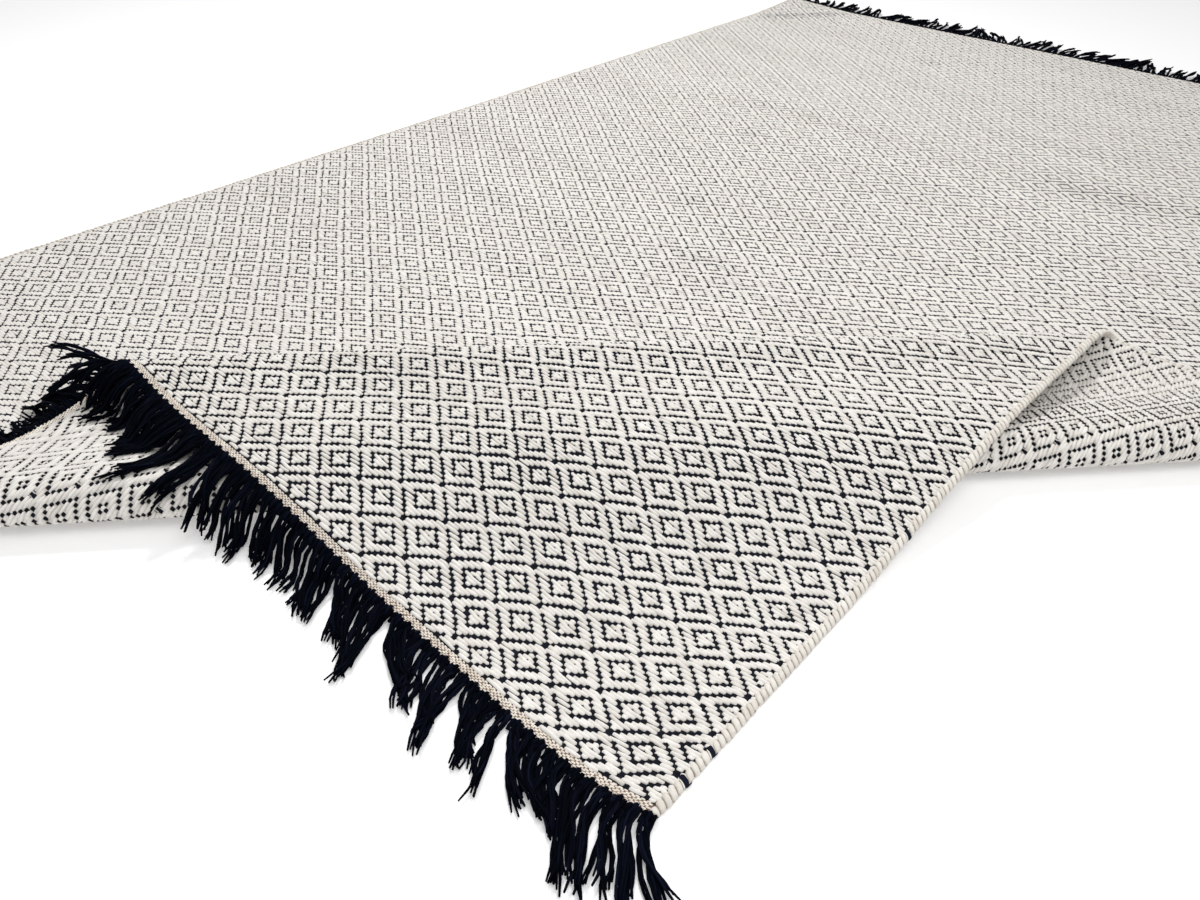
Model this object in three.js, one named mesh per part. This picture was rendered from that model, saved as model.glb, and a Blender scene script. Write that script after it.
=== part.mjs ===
// A flat-woven dhurrie rug with its near right corner folded in a loose Z: the sheet rolls over on
// itself, lies reverse side up for a hand's breadth, turns back at a ridge, and its corner flap comes
// down on the floor again, face up. Millimetres, +Z up, +Y along the warp, origin on the floor at the
// middle of the rug. Every piece is drawn flat and then laid along one folded cross-section, so that
// neighbours stay the same distance apart through every bend.
import * as THREE from 'three';

// The flat rug.
const WIDTH = 1600; // over both selvedge cords
const LENGTH = 2385; // over both headings, without the fringes
const THICKNESS = 6.5;
const CORD_WIDTH = 8;
const CORD_HEIGHT = 8;
const HEADING_DEPTH = 9.2;
const HEADING_THICKNESS = 3.4;
const FRINGE_LENGTH = 70;
const FRINGE_THICKNESS = 5;
const FRINGE_ROOT = 12; // unbroken strip along the comb before its teeth
const TOOTH_PITCH = 50;
const TOOTH_WIDTH = 36;
const PIECE_GAP = 0.6;

// The folds. They run parallel, at one angle to the weft, and are measured from the near right corner.
const FOLD_ANGLE = THREE.MathUtils.degToRad(47.9);
const CORNER_TO_ROLL = 846; // flat distance from the corner to the outer edge of the roll
const LEFT_STATION = -538; // along the folds, from the corner: where the left column below holds
const RIGHT_STATION = 665;
const RESTING = THICKNESS / 2; // height of the sheet's middle where it lies flat

// The folded cross-section, from the far left corner to the near right one. out is the distance beyond
// the outer edge of the roll, up is the height of the sheet's middle, at three stations along the folds.
const SECTION = [
  { name: 'beyond far corner', out: [-2060, -2060, -2060], up: [18, 18, 18] },
  { name: 'far corner', out: [-1925, -1925, -1925], up: [11, 11, 11] },
  { name: 'corner crease', out: [-1810, -1810, -1810], up: [3.6, 3.6, 3.6] },
  { name: 'flat field', out: [-1700, -1700, -1700], up: [RESTING, RESTING, RESTING] },
  { name: 'flat to the folds', out: [-318, -318, -318], up: [RESTING, RESTING, RESTING] },
  { name: 'run up', out: [-58, -55, -53], up: [RESTING, RESTING, RESTING] },
  { name: 'under the roll', out: [-8, -6, -4], up: [4.9, 4.9, 4.9] },
  { name: 'roll', out: [23, 23, 23], up: [25, 24, 23] },
  { name: 'roll crest', out: [0, 1, 2], up: [48, 46, 43.5] },
  { name: 'back of the roll', out: [-43, -42, -40], up: [41, 37, 35.5] },
  { name: 'valley', out: [-101, -98, -94], up: [28, 21, 21] },
  { name: 'foot of the ridge', out: [-159, -155, -149], up: [32, 26, 24] },
  { name: 'back of the ridge', out: [-199, -196, -188], up: [48, 43, 36.5] },
  { name: 'ridge', out: [-185, -182, -174], up: [65.5, 61, 50] },
  { name: 'behind the crest', out: [-120, -117, -111], up: [64.5, 60, 50] },
  { name: 'over the crest', out: [-5, -4, -4], up: [59, 57, 54] },
  { name: 'falling', out: [53, 52, 50], up: [42, 41, 39.5] },
  { name: 'low', out: [116, 115, 114], up: [18, 17, 16.5] },
  { name: 'touch down', out: [193, 193, 193], up: [3.6, 3.6, 3.6] },
  { name: 'flap on the floor', out: [260, 260, 260], up: [RESTING, RESTING, RESTING] },
  { name: 'beyond near corner', out: [760, 760, 760], up: [RESTING, RESTING, RESTING] },
];

// The near right corner isn't square: its selvedge flares, and its heading bows out and back again.
const HEADING_DRAWN_IN = [
  { along: 0, by: 12 },
  { along: 45, by: 1 },
  { along: 100, by: -3 },
  { along: 250, by: -2 },
  { along: 400, by: -4 },
  { along: 600, by: -9 },
  { along: 800, by: 2 },
  { along: 950, by: 8 },
  { along: 1100, by: 3 },
  { along: 1250, by: 0 },
];
const SELVEDGE_OUT = [
  { along: 0, by: 15 },
  { along: 120, by: 11 },
  { along: 250, by: 7 },
  { along: 400, by: 3 },
  { along: 550, by: 0 },
  { along: 700, by: -2 },
  { along: 850, by: -3 },
  { along: 1000, by: 0 },
];
const UNEVEN_DEPTH = 300; // how far into the cloth the uneven edges are felt

// How finely the cloth is faceted.
const MAX_TURN = THREE.MathUtils.degToRad(12);
const MAX_STRIP = 60;
const MAX_FLAT_STRIP = 420;
const BAND = 300; // along the folds
const EDGE_STEP = 85; // along the selvedges
const CORD_SIDES = 8;
const RING_GAP = 1;
const SAMPLES = 3000;
const MERGE = 1e3; // corners that agree to a thousandth are one

const ACROSS = new THREE.Vector2(Math.sin(FOLD_ANGLE), -Math.cos(FOLD_ANGLE));
const ALONG = new THREE.Vector2(Math.cos(FOLD_ANGLE), Math.sin(FOLD_ANGLE));
const CORNER = new THREE.Vector2(WIDTH / 2, -LENGTH / 2);
const DIAGONAL = WIDTH * ACROSS.x - LENGTH * ACROSS.y; // far left corner to near right, across the folds

const COLOURS = {
  ivory: { color: '#ebe6dc', roughness: 0.95, metalness: 0 },
  cream: { color: '#e4dfd4', roughness: 0.92, metalness: 0 },
  tan: { color: '#bfae98', roughness: 0.95, metalness: 0 },
  navy: { color: '#141a2c', roughness: 0.85, metalness: 0 },
};

// A table's value at a place between its rows, by cubics that share each row's slope.
function smoothRows(rows, along) {
  const last = rows.length - 1;
  if (along <= rows[0].along) return rows[0].by;
  if (along >= rows[last].along) return rows[last].by;
  const next = rows.findIndex((row) => row.along > along);
  const slope = (row) => {
    const [before, after] = [rows[Math.max(row - 1, 0)], rows[Math.min(row + 1, last)]];
    return (after.by - before.by) / (after.along - before.along);
  };
  const [from, to] = [rows[next - 1], rows[next]];
  const span = to.along - from.along;
  const t = (along - from.along) / span;
  const [rest, ease] = [1 - t, t * t * (3 - 2 * t)];
  const bend = t * rest * span * (rest * slope(next - 1) - t * slope(next));
  return THREE.MathUtils.lerp(from.by, to.by, ease) + bend;
}

// A place on the square rug, moved to where the uneven edges put it. across runs from the left
// selvedge, length from the near heading; both may be outside the cloth, where the fringe is.
function uneven(across, length) {
  const inward = smoothRows(HEADING_DRAWN_IN, WIDTH - across);
  const outward = smoothRows(SELVEDGE_OUT, length);
  const fadeUp = 1 - THREE.MathUtils.smoothstep(length, 0, UNEVEN_DEPTH);
  const fadeIn = 1 - THREE.MathUtils.smoothstep(WIDTH - across, 0, UNEVEN_DEPTH);
  return new THREE.Vector2(
    across + outward * fadeIn - WIDTH / 2,
    length + inward * fadeUp - LENGTH / 2,
  );
}

// Each station's curve as evenly spaced samples by the length along it, from the far left corner.
function sampleStation(station) {
  const points = SECTION.map((row) => new THREE.Vector3(row.out[station], row.up[station], 0));
  const curve = new THREE.CatmullRomCurve3(points, false, 'centripetal');
  curve.arcLengthDivisions = SAMPLES;
  const samples = curve.getSpacedPoints(SAMPLES);
  const step = curve.getLength() / SAMPLES;
  const cornerOut = CORNER_TO_ROLL - DIAGONAL;
  const start = samples.findIndex((point) => point.x > cornerOut);
  return { samples, step, start };
}

const STATIONS = [0, 1, 2].map(sampleStation);

function onStation({ samples, step, start }, run) {
  const at = THREE.MathUtils.clamp(start + run / step, 0, samples.length - 1.001);
  const whole = Math.floor(at);
  return samples[whole].clone().lerp(samples[whole + 1], at - whole);
}

// The three stations blended by a parabola along the folds.
function section(run, alongFold) {
  const share = (alongFold - LEFT_STATION) / (RIGHT_STATION - LEFT_STATION);
  const w = THREE.MathUtils.clamp(share, 0, 1);
  const weights = [2 * (w - 0.5) * (w - 1), 4 * w * (1 - w), 2 * w * (w - 0.5)];
  const point = new THREE.Vector3();
  STATIONS.forEach((station, i) => point.addScaledVector(onStation(station, run), weights[i]));
  point.y = Math.max(point.y, RESTING);
  return point;
}

const runOf = (flat) => DIAGONAL + flat.clone().sub(CORNER).dot(ACROSS);
const alongOf = (flat) => flat.clone().sub(CORNER).dot(ALONG);

// A flat place, level above the sheet's middle on its face side, laid along the folds.
function laid(flat, level) {
  const run = runOf(flat);
  const along = alongOf(flat);
  const point = section(run, along);
  const tangent = section(run + 1, along).sub(section(run - 1, along)).normalize();
  const out = point.x - tangent.y * level;
  const up = point.y + tangent.x * level;
  const spot = CORNER.clone().addScaledVector(ALONG, along).addScaledVector(ACROSS, out - CORNER_TO_ROLL);
  return new THREE.Vector3(spot.x, spot.y, up);
}

// Where the rulings go, as lengths from the far left corner: close together where any station bends,
// wide on the flat.
function rulings() {
  const stations = [LEFT_STATION, (LEFT_STATION + RIGHT_STATION) / 2, RIGHT_STATION];
  const headings = (run) =>
    stations.map((along) => {
      const step = section(run + 1, along).sub(section(run - 1, along));
      return Math.atan2(step.y, step.x);
    });
  const lines = [];
  let [last, before] = [0, headings(0)];
  let turns = stations.map(() => 0);
  for (let run = 1; run < DIAGONAL; run += 1) {
    const now = headings(run);
    turns = turns.map((turn, i) => {
      const change = now[i] - before[i];
      return turn + Math.abs(Math.atan2(Math.sin(change), Math.cos(change)));
    });
    before = now;
    const lifted = stations.some((along) => section(run, along).y > RESTING);
    const longest = lifted ? MAX_STRIP : MAX_FLAT_STRIP;
    if (Math.max(...turns) < MAX_TURN && run - last < longest) continue;
    lines.push(run);
    last = run;
    turns = stations.map(() => 0);
  }
  return lines;
}

const RULINGS = rulings();
const BANDS = [];
for (let along = -2 * BAND - WIDTH; along < LENGTH + WIDTH; along += BAND) BANDS.push(along);

// The part of a flat outline on one side of a line, where measure() is over or under the limit.
function clip(outline, measure, limit, side) {
  const kept = [];
  outline.forEach((point, i) => {
    const next = outline[(i + 1) % outline.length];
    const [a, b] = [side * (measure(point) - limit), side * (measure(next) - limit)];
    if (a >= 0) kept.push(point);
    if (a * b < 0) kept.push(point.clone().lerp(next, a / (a - b)));
  });
  return kept;
}

function slices(outline, measure, lines) {
  const spans = outline.map(measure);
  const [low, high] = [Math.min(...spans), Math.max(...spans)];
  const cuts = lines.filter((line) => line > low && line < high);
  const found = [];
  let rest = outline;
  for (const cut of cuts) {
    found.push(clip(rest, measure, cut, -1));
    rest = clip(rest, measure, cut, 1);
  }
  found.push(rest);
  return found.filter((piece) => piece.length > 2);
}

// A closed solid over flat outlines that share whole edges: cut along the rulings, laid on the folds
// at two levels, and walled round every edge that only one cell has. A wall twists in a bend, so it is
// split the same way as its neighbour's wall, from its low corner nearer the far left to the high one.
function layer(outlines, low, high) {
  const cells = outlines
    .flatMap((outline) => slices(outline, runOf, RULINGS))
    .flatMap((strip) => slices(strip, alongOf, BANDS));
  const index = new Map();
  const flats = [];
  const corner = (point) => {
    const key = `${Math.round(point.x * MERGE)},${Math.round(point.y * MERGE)}`;
    if (!index.has(key)) {
      index.set(key, flats.length);
      flats.push(point);
    }
    return index.get(key);
  };
  const faces = [];
  const edges = new Map();
  for (const cell of cells) {
    const ids = cell.map(corner).filter((id, i, all) => id !== all[(i + 1) % all.length]);
    if (ids.length < 3) continue;
    const outline = ids.map((id) => flats[id]);
    for (const [a, b, c] of THREE.ShapeUtils.triangulateShape(outline, [])) {
      faces.push([ids[a], ids[b], ids[c]]);
    }
    ids.forEach((id, i) => edges.set(`${id},${ids[(i + 1) % ids.length]}`, [id, ids[(i + 1) % ids.length]]));
  }
  const count = flats.length;
  const triangles = [];
  for (const [a, b, c] of faces) {
    triangles.push(a + count, b + count, c + count);
    triangles.push(a, c, b);
  }
  for (const [a, b] of edges.values()) {
    if (edges.has(`${b},${a}`)) continue;
    const rising = runOf(flats[a]) < runOf(flats[b]);
    triangles.push(a, b, rising ? b + count : a + count);
    triangles.push(rising ? a : b, b + count, a + count);
  }
  const points = [low, high].flatMap((level) => flats.map((flat) => laid(flat, level)));
  return solid(points, triangles);
}

function solid(points, triangles) {
  const geometry = new THREE.BufferGeometry().setFromPoints(points);
  geometry.setIndex(triangles);
  geometry.computeVertexNormals();
  return geometry;
}

// Where every edge has its points, so that neighbours bend alike. Across the rug these are the sides of
// the fringe's teeth, and up its length they are evenly spaced.
const TEETH = Math.round(WIDTH / TOOTH_PITCH);
const TOOTH_MARGIN = (WIDTH / TEETH - TOOTH_WIDTH) / 2;
const COLUMNS = Array.from({ length: TEETH }, (_, i) => (i * WIDTH) / TEETH).flatMap((left) => [
  left,
  left + TOOTH_MARGIN,
  left + TOOTH_MARGIN + TOOTH_WIDTH,
]);
const ROWS = Array.from({ length: Math.ceil(LENGTH / EDGE_STEP) }, (_, i) => i * EDGE_STEP);

const between = (marks, low, high) => [low, ...marks.filter((mark) => mark > low && mark < high)];

// A rectangle of the square rug as an outline that follows the uneven edges.
function panel(left, right, near, far) {
  const across = between(COLUMNS, left, right);
  const length = between(ROWS, near, far);
  const back = (marks, low, high) => [high, ...between(marks, low, high).slice(1).reverse()];
  const outline = [
    ...across.map((mark) => [mark, near]),
    ...length.map((mark) => [right, mark]),
    ...back(COLUMNS, left, right).map((mark) => [mark, far]),
    ...back(ROWS, near, far).map((mark) => [left, mark]),
  ];
  return outline.map(([a, b]) => uneven(a, b));
}

function clothGeometry() {
  const side = CORD_WIDTH + PIECE_GAP;
  const end = HEADING_DEPTH + PIECE_GAP;
  const outline = panel(side, WIDTH - side, end, LENGTH - end);
  return layer([outline], -THICKNESS / 2, THICKNESS / 2);
}

function headingGeometry(near) {
  const side = CORD_WIDTH + PIECE_GAP;
  const outline = panel(side, WIDTH - side, near, near + HEADING_DEPTH);
  return layer([outline], -THICKNESS / 2, -THICKNESS / 2 + HEADING_THICKNESS);
}

// One comb: a root strip beside the heading and teeth outwards from it. outward is -1 at the near end
// and 1 at the far end.
function fringeGeometry(edge, outward) {
  const root = edge + outward * PIECE_GAP;
  const split = root + outward * FRINGE_ROOT;
  const tip = edge + outward * FRINGE_LENGTH;
  const outlines = [];
  const box = (left, right, a, b) => {
    const [near, far] = [Math.min(a, b), Math.max(a, b)];
    const flat = [[left, near], [right, near], [right, far], [left, far]];
    outlines.push(flat.map(([across, length]) => uneven(across, length)));
  };
  const marks = [...COLUMNS, WIDTH];
  for (let i = 0; i + 1 < marks.length; i += 1) {
    box(marks[i], marks[i + 1], root, split);
    if (i % 3 === 1) box(marks[i], marks[i + 1], split, tip);
  }
  return layer(outlines, -THICKNESS / 2, -THICKNESS / 2 + FRINGE_THICKNESS);
}

// The length at which the line across = constant meets a ruling.
function lengthOnRuling(across, run) {
  let [low, high] = [-LENGTH, 2 * LENGTH];
  for (let i = 0; i < 50; i += 1) {
    const middle = (low + high) / 2;
    if (runOf(uneven(across, middle)) > run) low = middle;
    else high = middle;
  }
  return (low + high) / 2;
}

// A selvedge cord: rings round the edge, each along a ruling, with square-cut ends. inner is the side
// where the cloth is.
function cordGeometry(centre, inner) {
  const raise = (CORD_HEIGHT - THICKNESS) / 2;
  const angles = Array.from({ length: CORD_SIDES }, (_, i) => ((i + 0.5) / CORD_SIDES) * 2 * Math.PI);
  const reach = 1 / Math.cos(Math.PI / CORD_SIDES);
  const offsets = angles.map((angle) => ({
    across: centre + (CORD_WIDTH / 2) * reach * Math.cos(angle),
    level: raise + (CORD_HEIGHT / 2) * reach * Math.sin(angle),
  }));
  const rows = ROWS.map((length) => runOf(uneven(inner, length)));
  const rings = [offsets.map(() => 0)];
  for (const run of [...RULINGS, ...rows].sort((a, b) => b - a)) {
    const ring = offsets.map(({ across }) => lengthOnRuling(across, run));
    const last = rings[rings.length - 1];
    const clear = ring.every((length, i) => length > last[i] + RING_GAP);
    if (clear && Math.max(...ring) < LENGTH - RING_GAP) rings.push(ring);
  }
  rings.push(offsets.map(() => LENGTH));
  const points = rings.flatMap((ring) =>
    ring.map((length, i) => laid(uneven(offsets[i].across, length), offsets[i].level)),
  );
  const triangles = [];
  for (let r = 0; r + 1 < rings.length; r += 1) {
    for (let i = 0; i < CORD_SIDES; i += 1) {
      const j = (i + 1) % CORD_SIDES;
      const [a, b] = [r * CORD_SIDES + i, r * CORD_SIDES + j];
      triangles.push(a, b + CORD_SIDES, b, a, a + CORD_SIDES, b + CORD_SIDES);
    }
  }
  const last = (rings.length - 1) * CORD_SIDES;
  for (let i = 1; i + 1 < CORD_SIDES; i += 1) {
    triangles.push(0, i, i + 1);
    triangles.push(last, last + i + 1, last + i);
  }
  return solid(points, triangles);
}

function piece(name, geometry, look) {
  const mesh = new THREE.Mesh(geometry, new THREE.MeshStandardMaterial({ name: look, ...COLOURS[look] }));
  mesh.name = name;
  return mesh;
}

const rug = new THREE.Group();
rug.add(piece('rug_cloth', clothGeometry(), 'ivory'));
rug.add(piece('heading_near', headingGeometry(0), 'tan'));
rug.add(piece('heading_far', headingGeometry(LENGTH - HEADING_DEPTH), 'tan'));
rug.add(piece('selvedge_left', cordGeometry(CORD_WIDTH / 2, CORD_WIDTH), 'cream'));
rug.add(piece('selvedge_right', cordGeometry(WIDTH - CORD_WIDTH / 2, WIDTH - CORD_WIDTH), 'cream'));
rug.add(piece('fringe_near', fringeGeometry(0, -1), 'navy'));
rug.add(piece('fringe_far', fringeGeometry(LENGTH, 1), 'navy'));

export default rug;
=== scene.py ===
"""A flat-woven dhurrie rug with its near right corner folded in a loose Z.

Everything is drawn flat and then laid along the fold's cross-section. A flat place is (u, v): u metres
from the left selvedge and v metres from the near heading. Level is the height over the middle of the
sheet, towards its face.
"""
import math

import bmesh
import bpy
import numpy as np
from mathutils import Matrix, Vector
from mathutils.bvhtree import BVHTree


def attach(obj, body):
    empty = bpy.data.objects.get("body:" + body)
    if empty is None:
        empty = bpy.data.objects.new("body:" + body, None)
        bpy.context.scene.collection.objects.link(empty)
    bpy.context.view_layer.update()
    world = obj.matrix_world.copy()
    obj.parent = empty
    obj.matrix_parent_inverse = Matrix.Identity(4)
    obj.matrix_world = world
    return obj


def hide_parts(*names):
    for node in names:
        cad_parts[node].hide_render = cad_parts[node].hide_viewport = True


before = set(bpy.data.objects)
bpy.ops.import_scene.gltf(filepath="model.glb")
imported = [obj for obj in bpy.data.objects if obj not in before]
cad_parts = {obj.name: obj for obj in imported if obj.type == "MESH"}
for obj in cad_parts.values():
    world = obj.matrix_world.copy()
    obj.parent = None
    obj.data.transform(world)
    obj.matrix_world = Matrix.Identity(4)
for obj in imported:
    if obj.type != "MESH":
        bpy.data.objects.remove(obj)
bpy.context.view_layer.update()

MM = 0.001
SEED = 11

# The flat rug, as its CAD solids have it.
WIDTH = 1.6
LENGTH = 2.385
THICKNESS = 0.0065
CORD_WIDTH = 0.008
CORD_HEIGHT = 0.008
HEADING_DEPTH = 0.0092
UNEVEN_DEPTH = 0.3
FOLD_ANGLE = math.radians(47.9)
CORNER_TO_ROLL = 0.846
LEFT_STATION = -0.538
RIGHT_STATION = 0.665
RESTING = THICKNESS / 2
SAMPLES = 3000
FLOOR_CLEAR = 0.02 * MM

ACROSS = np.array([math.sin(FOLD_ANGLE), -math.cos(FOLD_ANGLE)])
ALONG = np.array([math.cos(FOLD_ANGLE), math.sin(FOLD_ANGLE)])
CORNER = np.array([WIDTH / 2, -LENGTH / 2])
DIAGONAL = WIDTH * ACROSS[0] - LENGTH * ACROSS[1]

# The folded cross-section in millimetres: name, how far beyond the roll's outer edge, and how high the
# sheet's middle is, each at three stations along the folds.
SECTION = [
    ("beyond far corner", (-2060, -2060, -2060), (18, 18, 18)),
    ("far corner", (-1925, -1925, -1925), (11, 11, 11)),
    ("corner crease", (-1810, -1810, -1810), (3.6, 3.6, 3.6)),
    ("flat field", (-1700, -1700, -1700), (3.25, 3.25, 3.25)),
    ("flat to the folds", (-318, -318, -318), (3.25, 3.25, 3.25)),
    ("run up", (-58, -55, -53), (3.25, 3.25, 3.25)),
    ("under the roll", (-8, -6, -4), (4.9, 4.9, 4.9)),
    ("roll", (23, 23, 23), (25, 24, 23)),
    ("roll crest", (0, 1, 2), (48, 46, 43.5)),
    ("back of the roll", (-43, -42, -40), (41, 37, 35.5)),
    ("valley", (-101, -98, -94), (28, 21, 21)),
    ("foot of the ridge", (-159, -155, -149), (32, 26, 24)),
    ("back of the ridge", (-199, -196, -188), (48, 43, 36.5)),
    ("ridge", (-185, -182, -174), (65.5, 61, 50)),
    ("behind the crest", (-120, -117, -111), (64.5, 60, 50)),
    ("over the crest", (-5, -4, -4), (59, 57, 54)),
    ("falling", (53, 52, 50), (42, 41, 39.5)),
    ("low", (116, 115, 114), (18, 17, 16.5)),
    ("touch down", (193, 193, 193), (3.6, 3.6, 3.6)),
    ("flap on the floor", (260, 260, 260), (3.25, 3.25, 3.25)),
    ("beyond near corner", (760, 760, 760), (3.25, 3.25, 3.25)),
]

# Millimetres along the edge from the near right corner, and how far the edge is drawn in or bulges.
HEADING_DRAWN_IN = [
    (0, 12), (45, 1), (100, -3), (250, -2), (400, -4), (600, -9), (800, 2), (950, 8), (1100, 3), (1250, 0),
]
SELVEDGE_OUT = [
    (0, 15), (120, 11), (250, 7), (400, 3), (550, 0), (700, -2), (850, -3), (1000, 0),
]

# The weave. A repeat is 14 ends by 14 picks; half repeats of the chart lie at these lengths (mm).
REPEAT = 14
HALF = REPEAT / 2
PICK_LENGTHS = [
    (-40, -34), (-38, 12.6), (-32, 167.3), (-20, 462.5), (-10, 699.5), (0, 934), (10, 1171),
    (17, 1342), (40, 1903), (64, 2489),
]
END_WIDTHS = [(-31, -112), (-28, -10), (-20, 250), (-10, 576), (0, 895), (10, 1208), (20, 1513), (26, 1691)]
# Beside the near heading the picks are further from it towards the near right corner (mm by mm).
PICKS_SET_BACK = [(0, 17), (220, 16), (345, 9), (470, 7), (600, 6), (800, 0)]
# Beside the near right selvedge the ends and the picks lie further out by these (mm by mm along it).
ENDS_SET_OUT = [(0, -3), (60, 0), (180, 6), (300, 7), (425, 12), (565, 12), (700, 4), (1000, 0)]
PICKS_LIFTED = [(0, 0), (100, 1), (180, 6), (300, 12), (570, 10), (800, 0)]
# How the columns and rows of half repeats fan, fall and curve (mm), and the cloth's own wander (mm).
ENDS_FAN, NEAR_SPREAD = 0.0018, 0.0126
PICKS_FALL, PICKS_CURVE, PICKS_FAN = 0.7, 0.0285, 0.0204
FAN_STOP = 17  # in half repeats from the middle
BROAD_WANDER, FINE_WANDER = 1.1, 0.8
BROAD_SLACK, FINE_SLACK = 1.3, 0.6
# An even weave near enough to start from: its middle, and the width of an end and of a pick.
EVEN_MIDDLE = (0.895, 0.934)
EVEN_END, EVEN_PICK = 4.51 * MM, 3.45 * MM
HALF_END = 2.2 * MM
REPEATS_ACROSS = np.arange(-31, 27) * REPEAT
REPEATS_ALONG = np.arange(-42, 66) * REPEAT
# Every fourth ring of the diamonds has dots: which one, on the face and on the back.
RING_STEP = 4
FACE_DOTS = 3
BACK_DOTS = 1
REACH_IN = 0.95
HEADING_CLEAR = 0.2 * MM


def smoothstep(x):
    x = np.clip(x, 0, 1)
    return x * x * (3 - 2 * x)


def between(x, start, stop, blend):
    """1 from start to stop, with a smooth rise after start and fall after stop."""
    return smoothstep((x - start) / blend) * (1 - smoothstep((x - stop) / blend))


def curve_through(rows):
    """A table's value in metres, by cubics that share each row's slope; level beyond its ends."""
    a, b = (np.array(column, float) for column in zip(*rows))
    slope = np.gradient(b, a)
    slope[1:-1] = (b[2:] - b[:-2]) / (a[2:] - a[:-2])

    def value(x):
        inside = np.clip(x, a[0], a[-1])
        k = np.clip(np.searchsorted(a, inside, side="right") - 1, 0, len(a) - 2)
        span = a[k + 1] - a[k]
        t = (inside - a[k]) / span
        bend = t * (1 - t) * span * ((1 - t) * slope[k] - t * slope[k + 1])
        return (b[k] + (b[k + 1] - b[k]) * smoothstep(t) + bend) * MM

    return value


drawn_in = curve_through(HEADING_DRAWN_IN)
bulge = curve_through(SELVEDGE_OUT)
pick_length = curve_through(PICK_LENGTHS)
end_width = curve_through(END_WIDTHS)
set_back = curve_through(PICKS_SET_BACK)
set_out = curve_through(ENDS_SET_OUT)
lifted = curve_through(PICKS_LIFTED)


def edge_shares(u, v):
    """How much a flat place follows the near heading, and how much the right selvedge."""
    return 1 - smoothstep(v / UNEVEN_DEPTH), 1 - smoothstep((WIDTH - u) / UNEVEN_DEPTH)


def uneven(u, v):
    """Where a flat place lies once the edges are drawn in or bulge, measured from the rug's middle."""
    fade_up, fade_in = edge_shares(u, v)
    x = u + bulge(v / MM) * fade_in - WIDTH / 2
    y = v + drawn_in((WIDTH - u) / MM) * fade_up - LENGTH / 2
    return x, y


def spline(points, per_span):
    """Centripetal Catmull-Rom through the points."""
    p = np.asarray(points, float)
    ends = np.vstack([2 * p[0] - p[1], p, 2 * p[-1] - p[-2]])
    t = np.linspace(0, 1, per_span, endpoint=False)[:, None]
    spans = []
    for x0, x1, x2, x3 in zip(ends, ends[1:], ends[2:], ends[3:]):
        d0, d1, d2 = (np.linalg.norm(b - a) ** 0.5 for a, b in ((x0, x1), (x1, x2), (x2, x3)))
        m1 = ((x1 - x0) / d0 - (x2 - x0) / (d0 + d1) + (x2 - x1) / d1) * d1
        m2 = ((x2 - x1) / d1 - (x3 - x1) / (d1 + d2) + (x3 - x2) / d2) * d1
        square = 3 * (x2 - x1) - 2 * m1 - m2
        cube = 2 * (x1 - x2) + m1 + m2
        spans.append(x1 + m1 * t + square * t**2 + cube * t**3)
    return np.vstack(spans + [p[-1:]])


def station(index):
    """One station's curve as lengths from the far left corner, with the distance out and the height."""
    dense = spline([(out[index] * MM, up[index] * MM) for _, out, up in SECTION], 400)
    steps = np.linalg.norm(np.diff(dense, axis=0), axis=1)
    length = np.concatenate([[0], np.cumsum(steps)])
    even = np.linspace(0, length[-1], SAMPLES + 1)
    out = np.interp(even, length, dense[:, 0])
    up = np.interp(even, length, dense[:, 1])
    start = even[np.argmax(out > CORNER_TO_ROLL - DIAGONAL)]
    return even - start, out, up


STATIONS = [station(index) for index in range(3)]


def section(run, along):
    """The three stations blended by a parabola along the folds."""
    w = np.clip((along - LEFT_STATION) / (RIGHT_STATION - LEFT_STATION), 0, 1)
    weights = (2 * (w - 0.5) * (w - 1), 4 * w * (1 - w), 2 * w * (w - 0.5))
    out = sum(k * np.interp(run, s[0], s[1]) for k, s in zip(weights, STATIONS))
    up = sum(k * np.interp(run, s[0], s[2]) for k, s in zip(weights, STATIONS))
    return out, np.maximum(up, RESTING)


def fold_place(u, v):
    """How far a flat place is from the far left corner across the folds, and where along them."""
    x, y = uneven(u, v)
    dx, dy = x - CORNER[0], y - CORNER[1]
    return DIAGONAL + dx * ACROSS[0] + dy * ACROSS[1], dx * ALONG[0] + dy * ALONG[1]


def laid(u, v, level):
    """Where a flat place at a level over the sheet's middle lies on the folded rug."""
    run, along = fold_place(u, v)
    out, up = section(run, along)
    ahead, behind = section(run + MM, along), section(run - MM, along)
    d_out, d_up = ahead[0] - behind[0], ahead[1] - behind[1]
    size = np.hypot(d_out, d_up)
    out = out - d_up / size * level - CORNER_TO_ROLL
    x = CORNER[0] + ALONG[0] * along + ACROSS[0] * out
    y = CORNER[1] + ALONG[1] * along + ACROSS[1] * out
    return np.stack([x, y, up + d_out / size * level], -1)


def run_where(out_mm, after=0.0):
    """The run at which the middle station first passes a distance out, past a given run."""
    runs, out, _ = STATIONS[1]
    sign = 1 if np.interp(after, runs, out) < out_mm * MM else -1
    past = (runs > after) & (sign * (out - out_mm * MM) > 0)
    return runs[np.argmax(past)]


RUN_UP = run_where(-58)
ROLL_RUN = run_where(22)
VALLEY_RUN = run_where(-98, ROLL_RUN + 0.02)
RIDGE_RUN = run_where(-194, ROLL_RUN + 0.02)
CREST_RUN = run_where(-5, RIDGE_RUN + 0.02)


# ---------------------------------------------------------------- camera, floor and light
CAMERA_AT = (0.674, -1.152, 0.636)
CAMERA_AZIMUTH = math.radians(43.0)
CAMERA_DOWN = math.radians(38.59)
SENSOR = 36.0
FOCAL = 28.2
NEAREST_SEEN = 0.01
SKY_LOW = 0.22
SKY_OVERHEAD = 0.62
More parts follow.
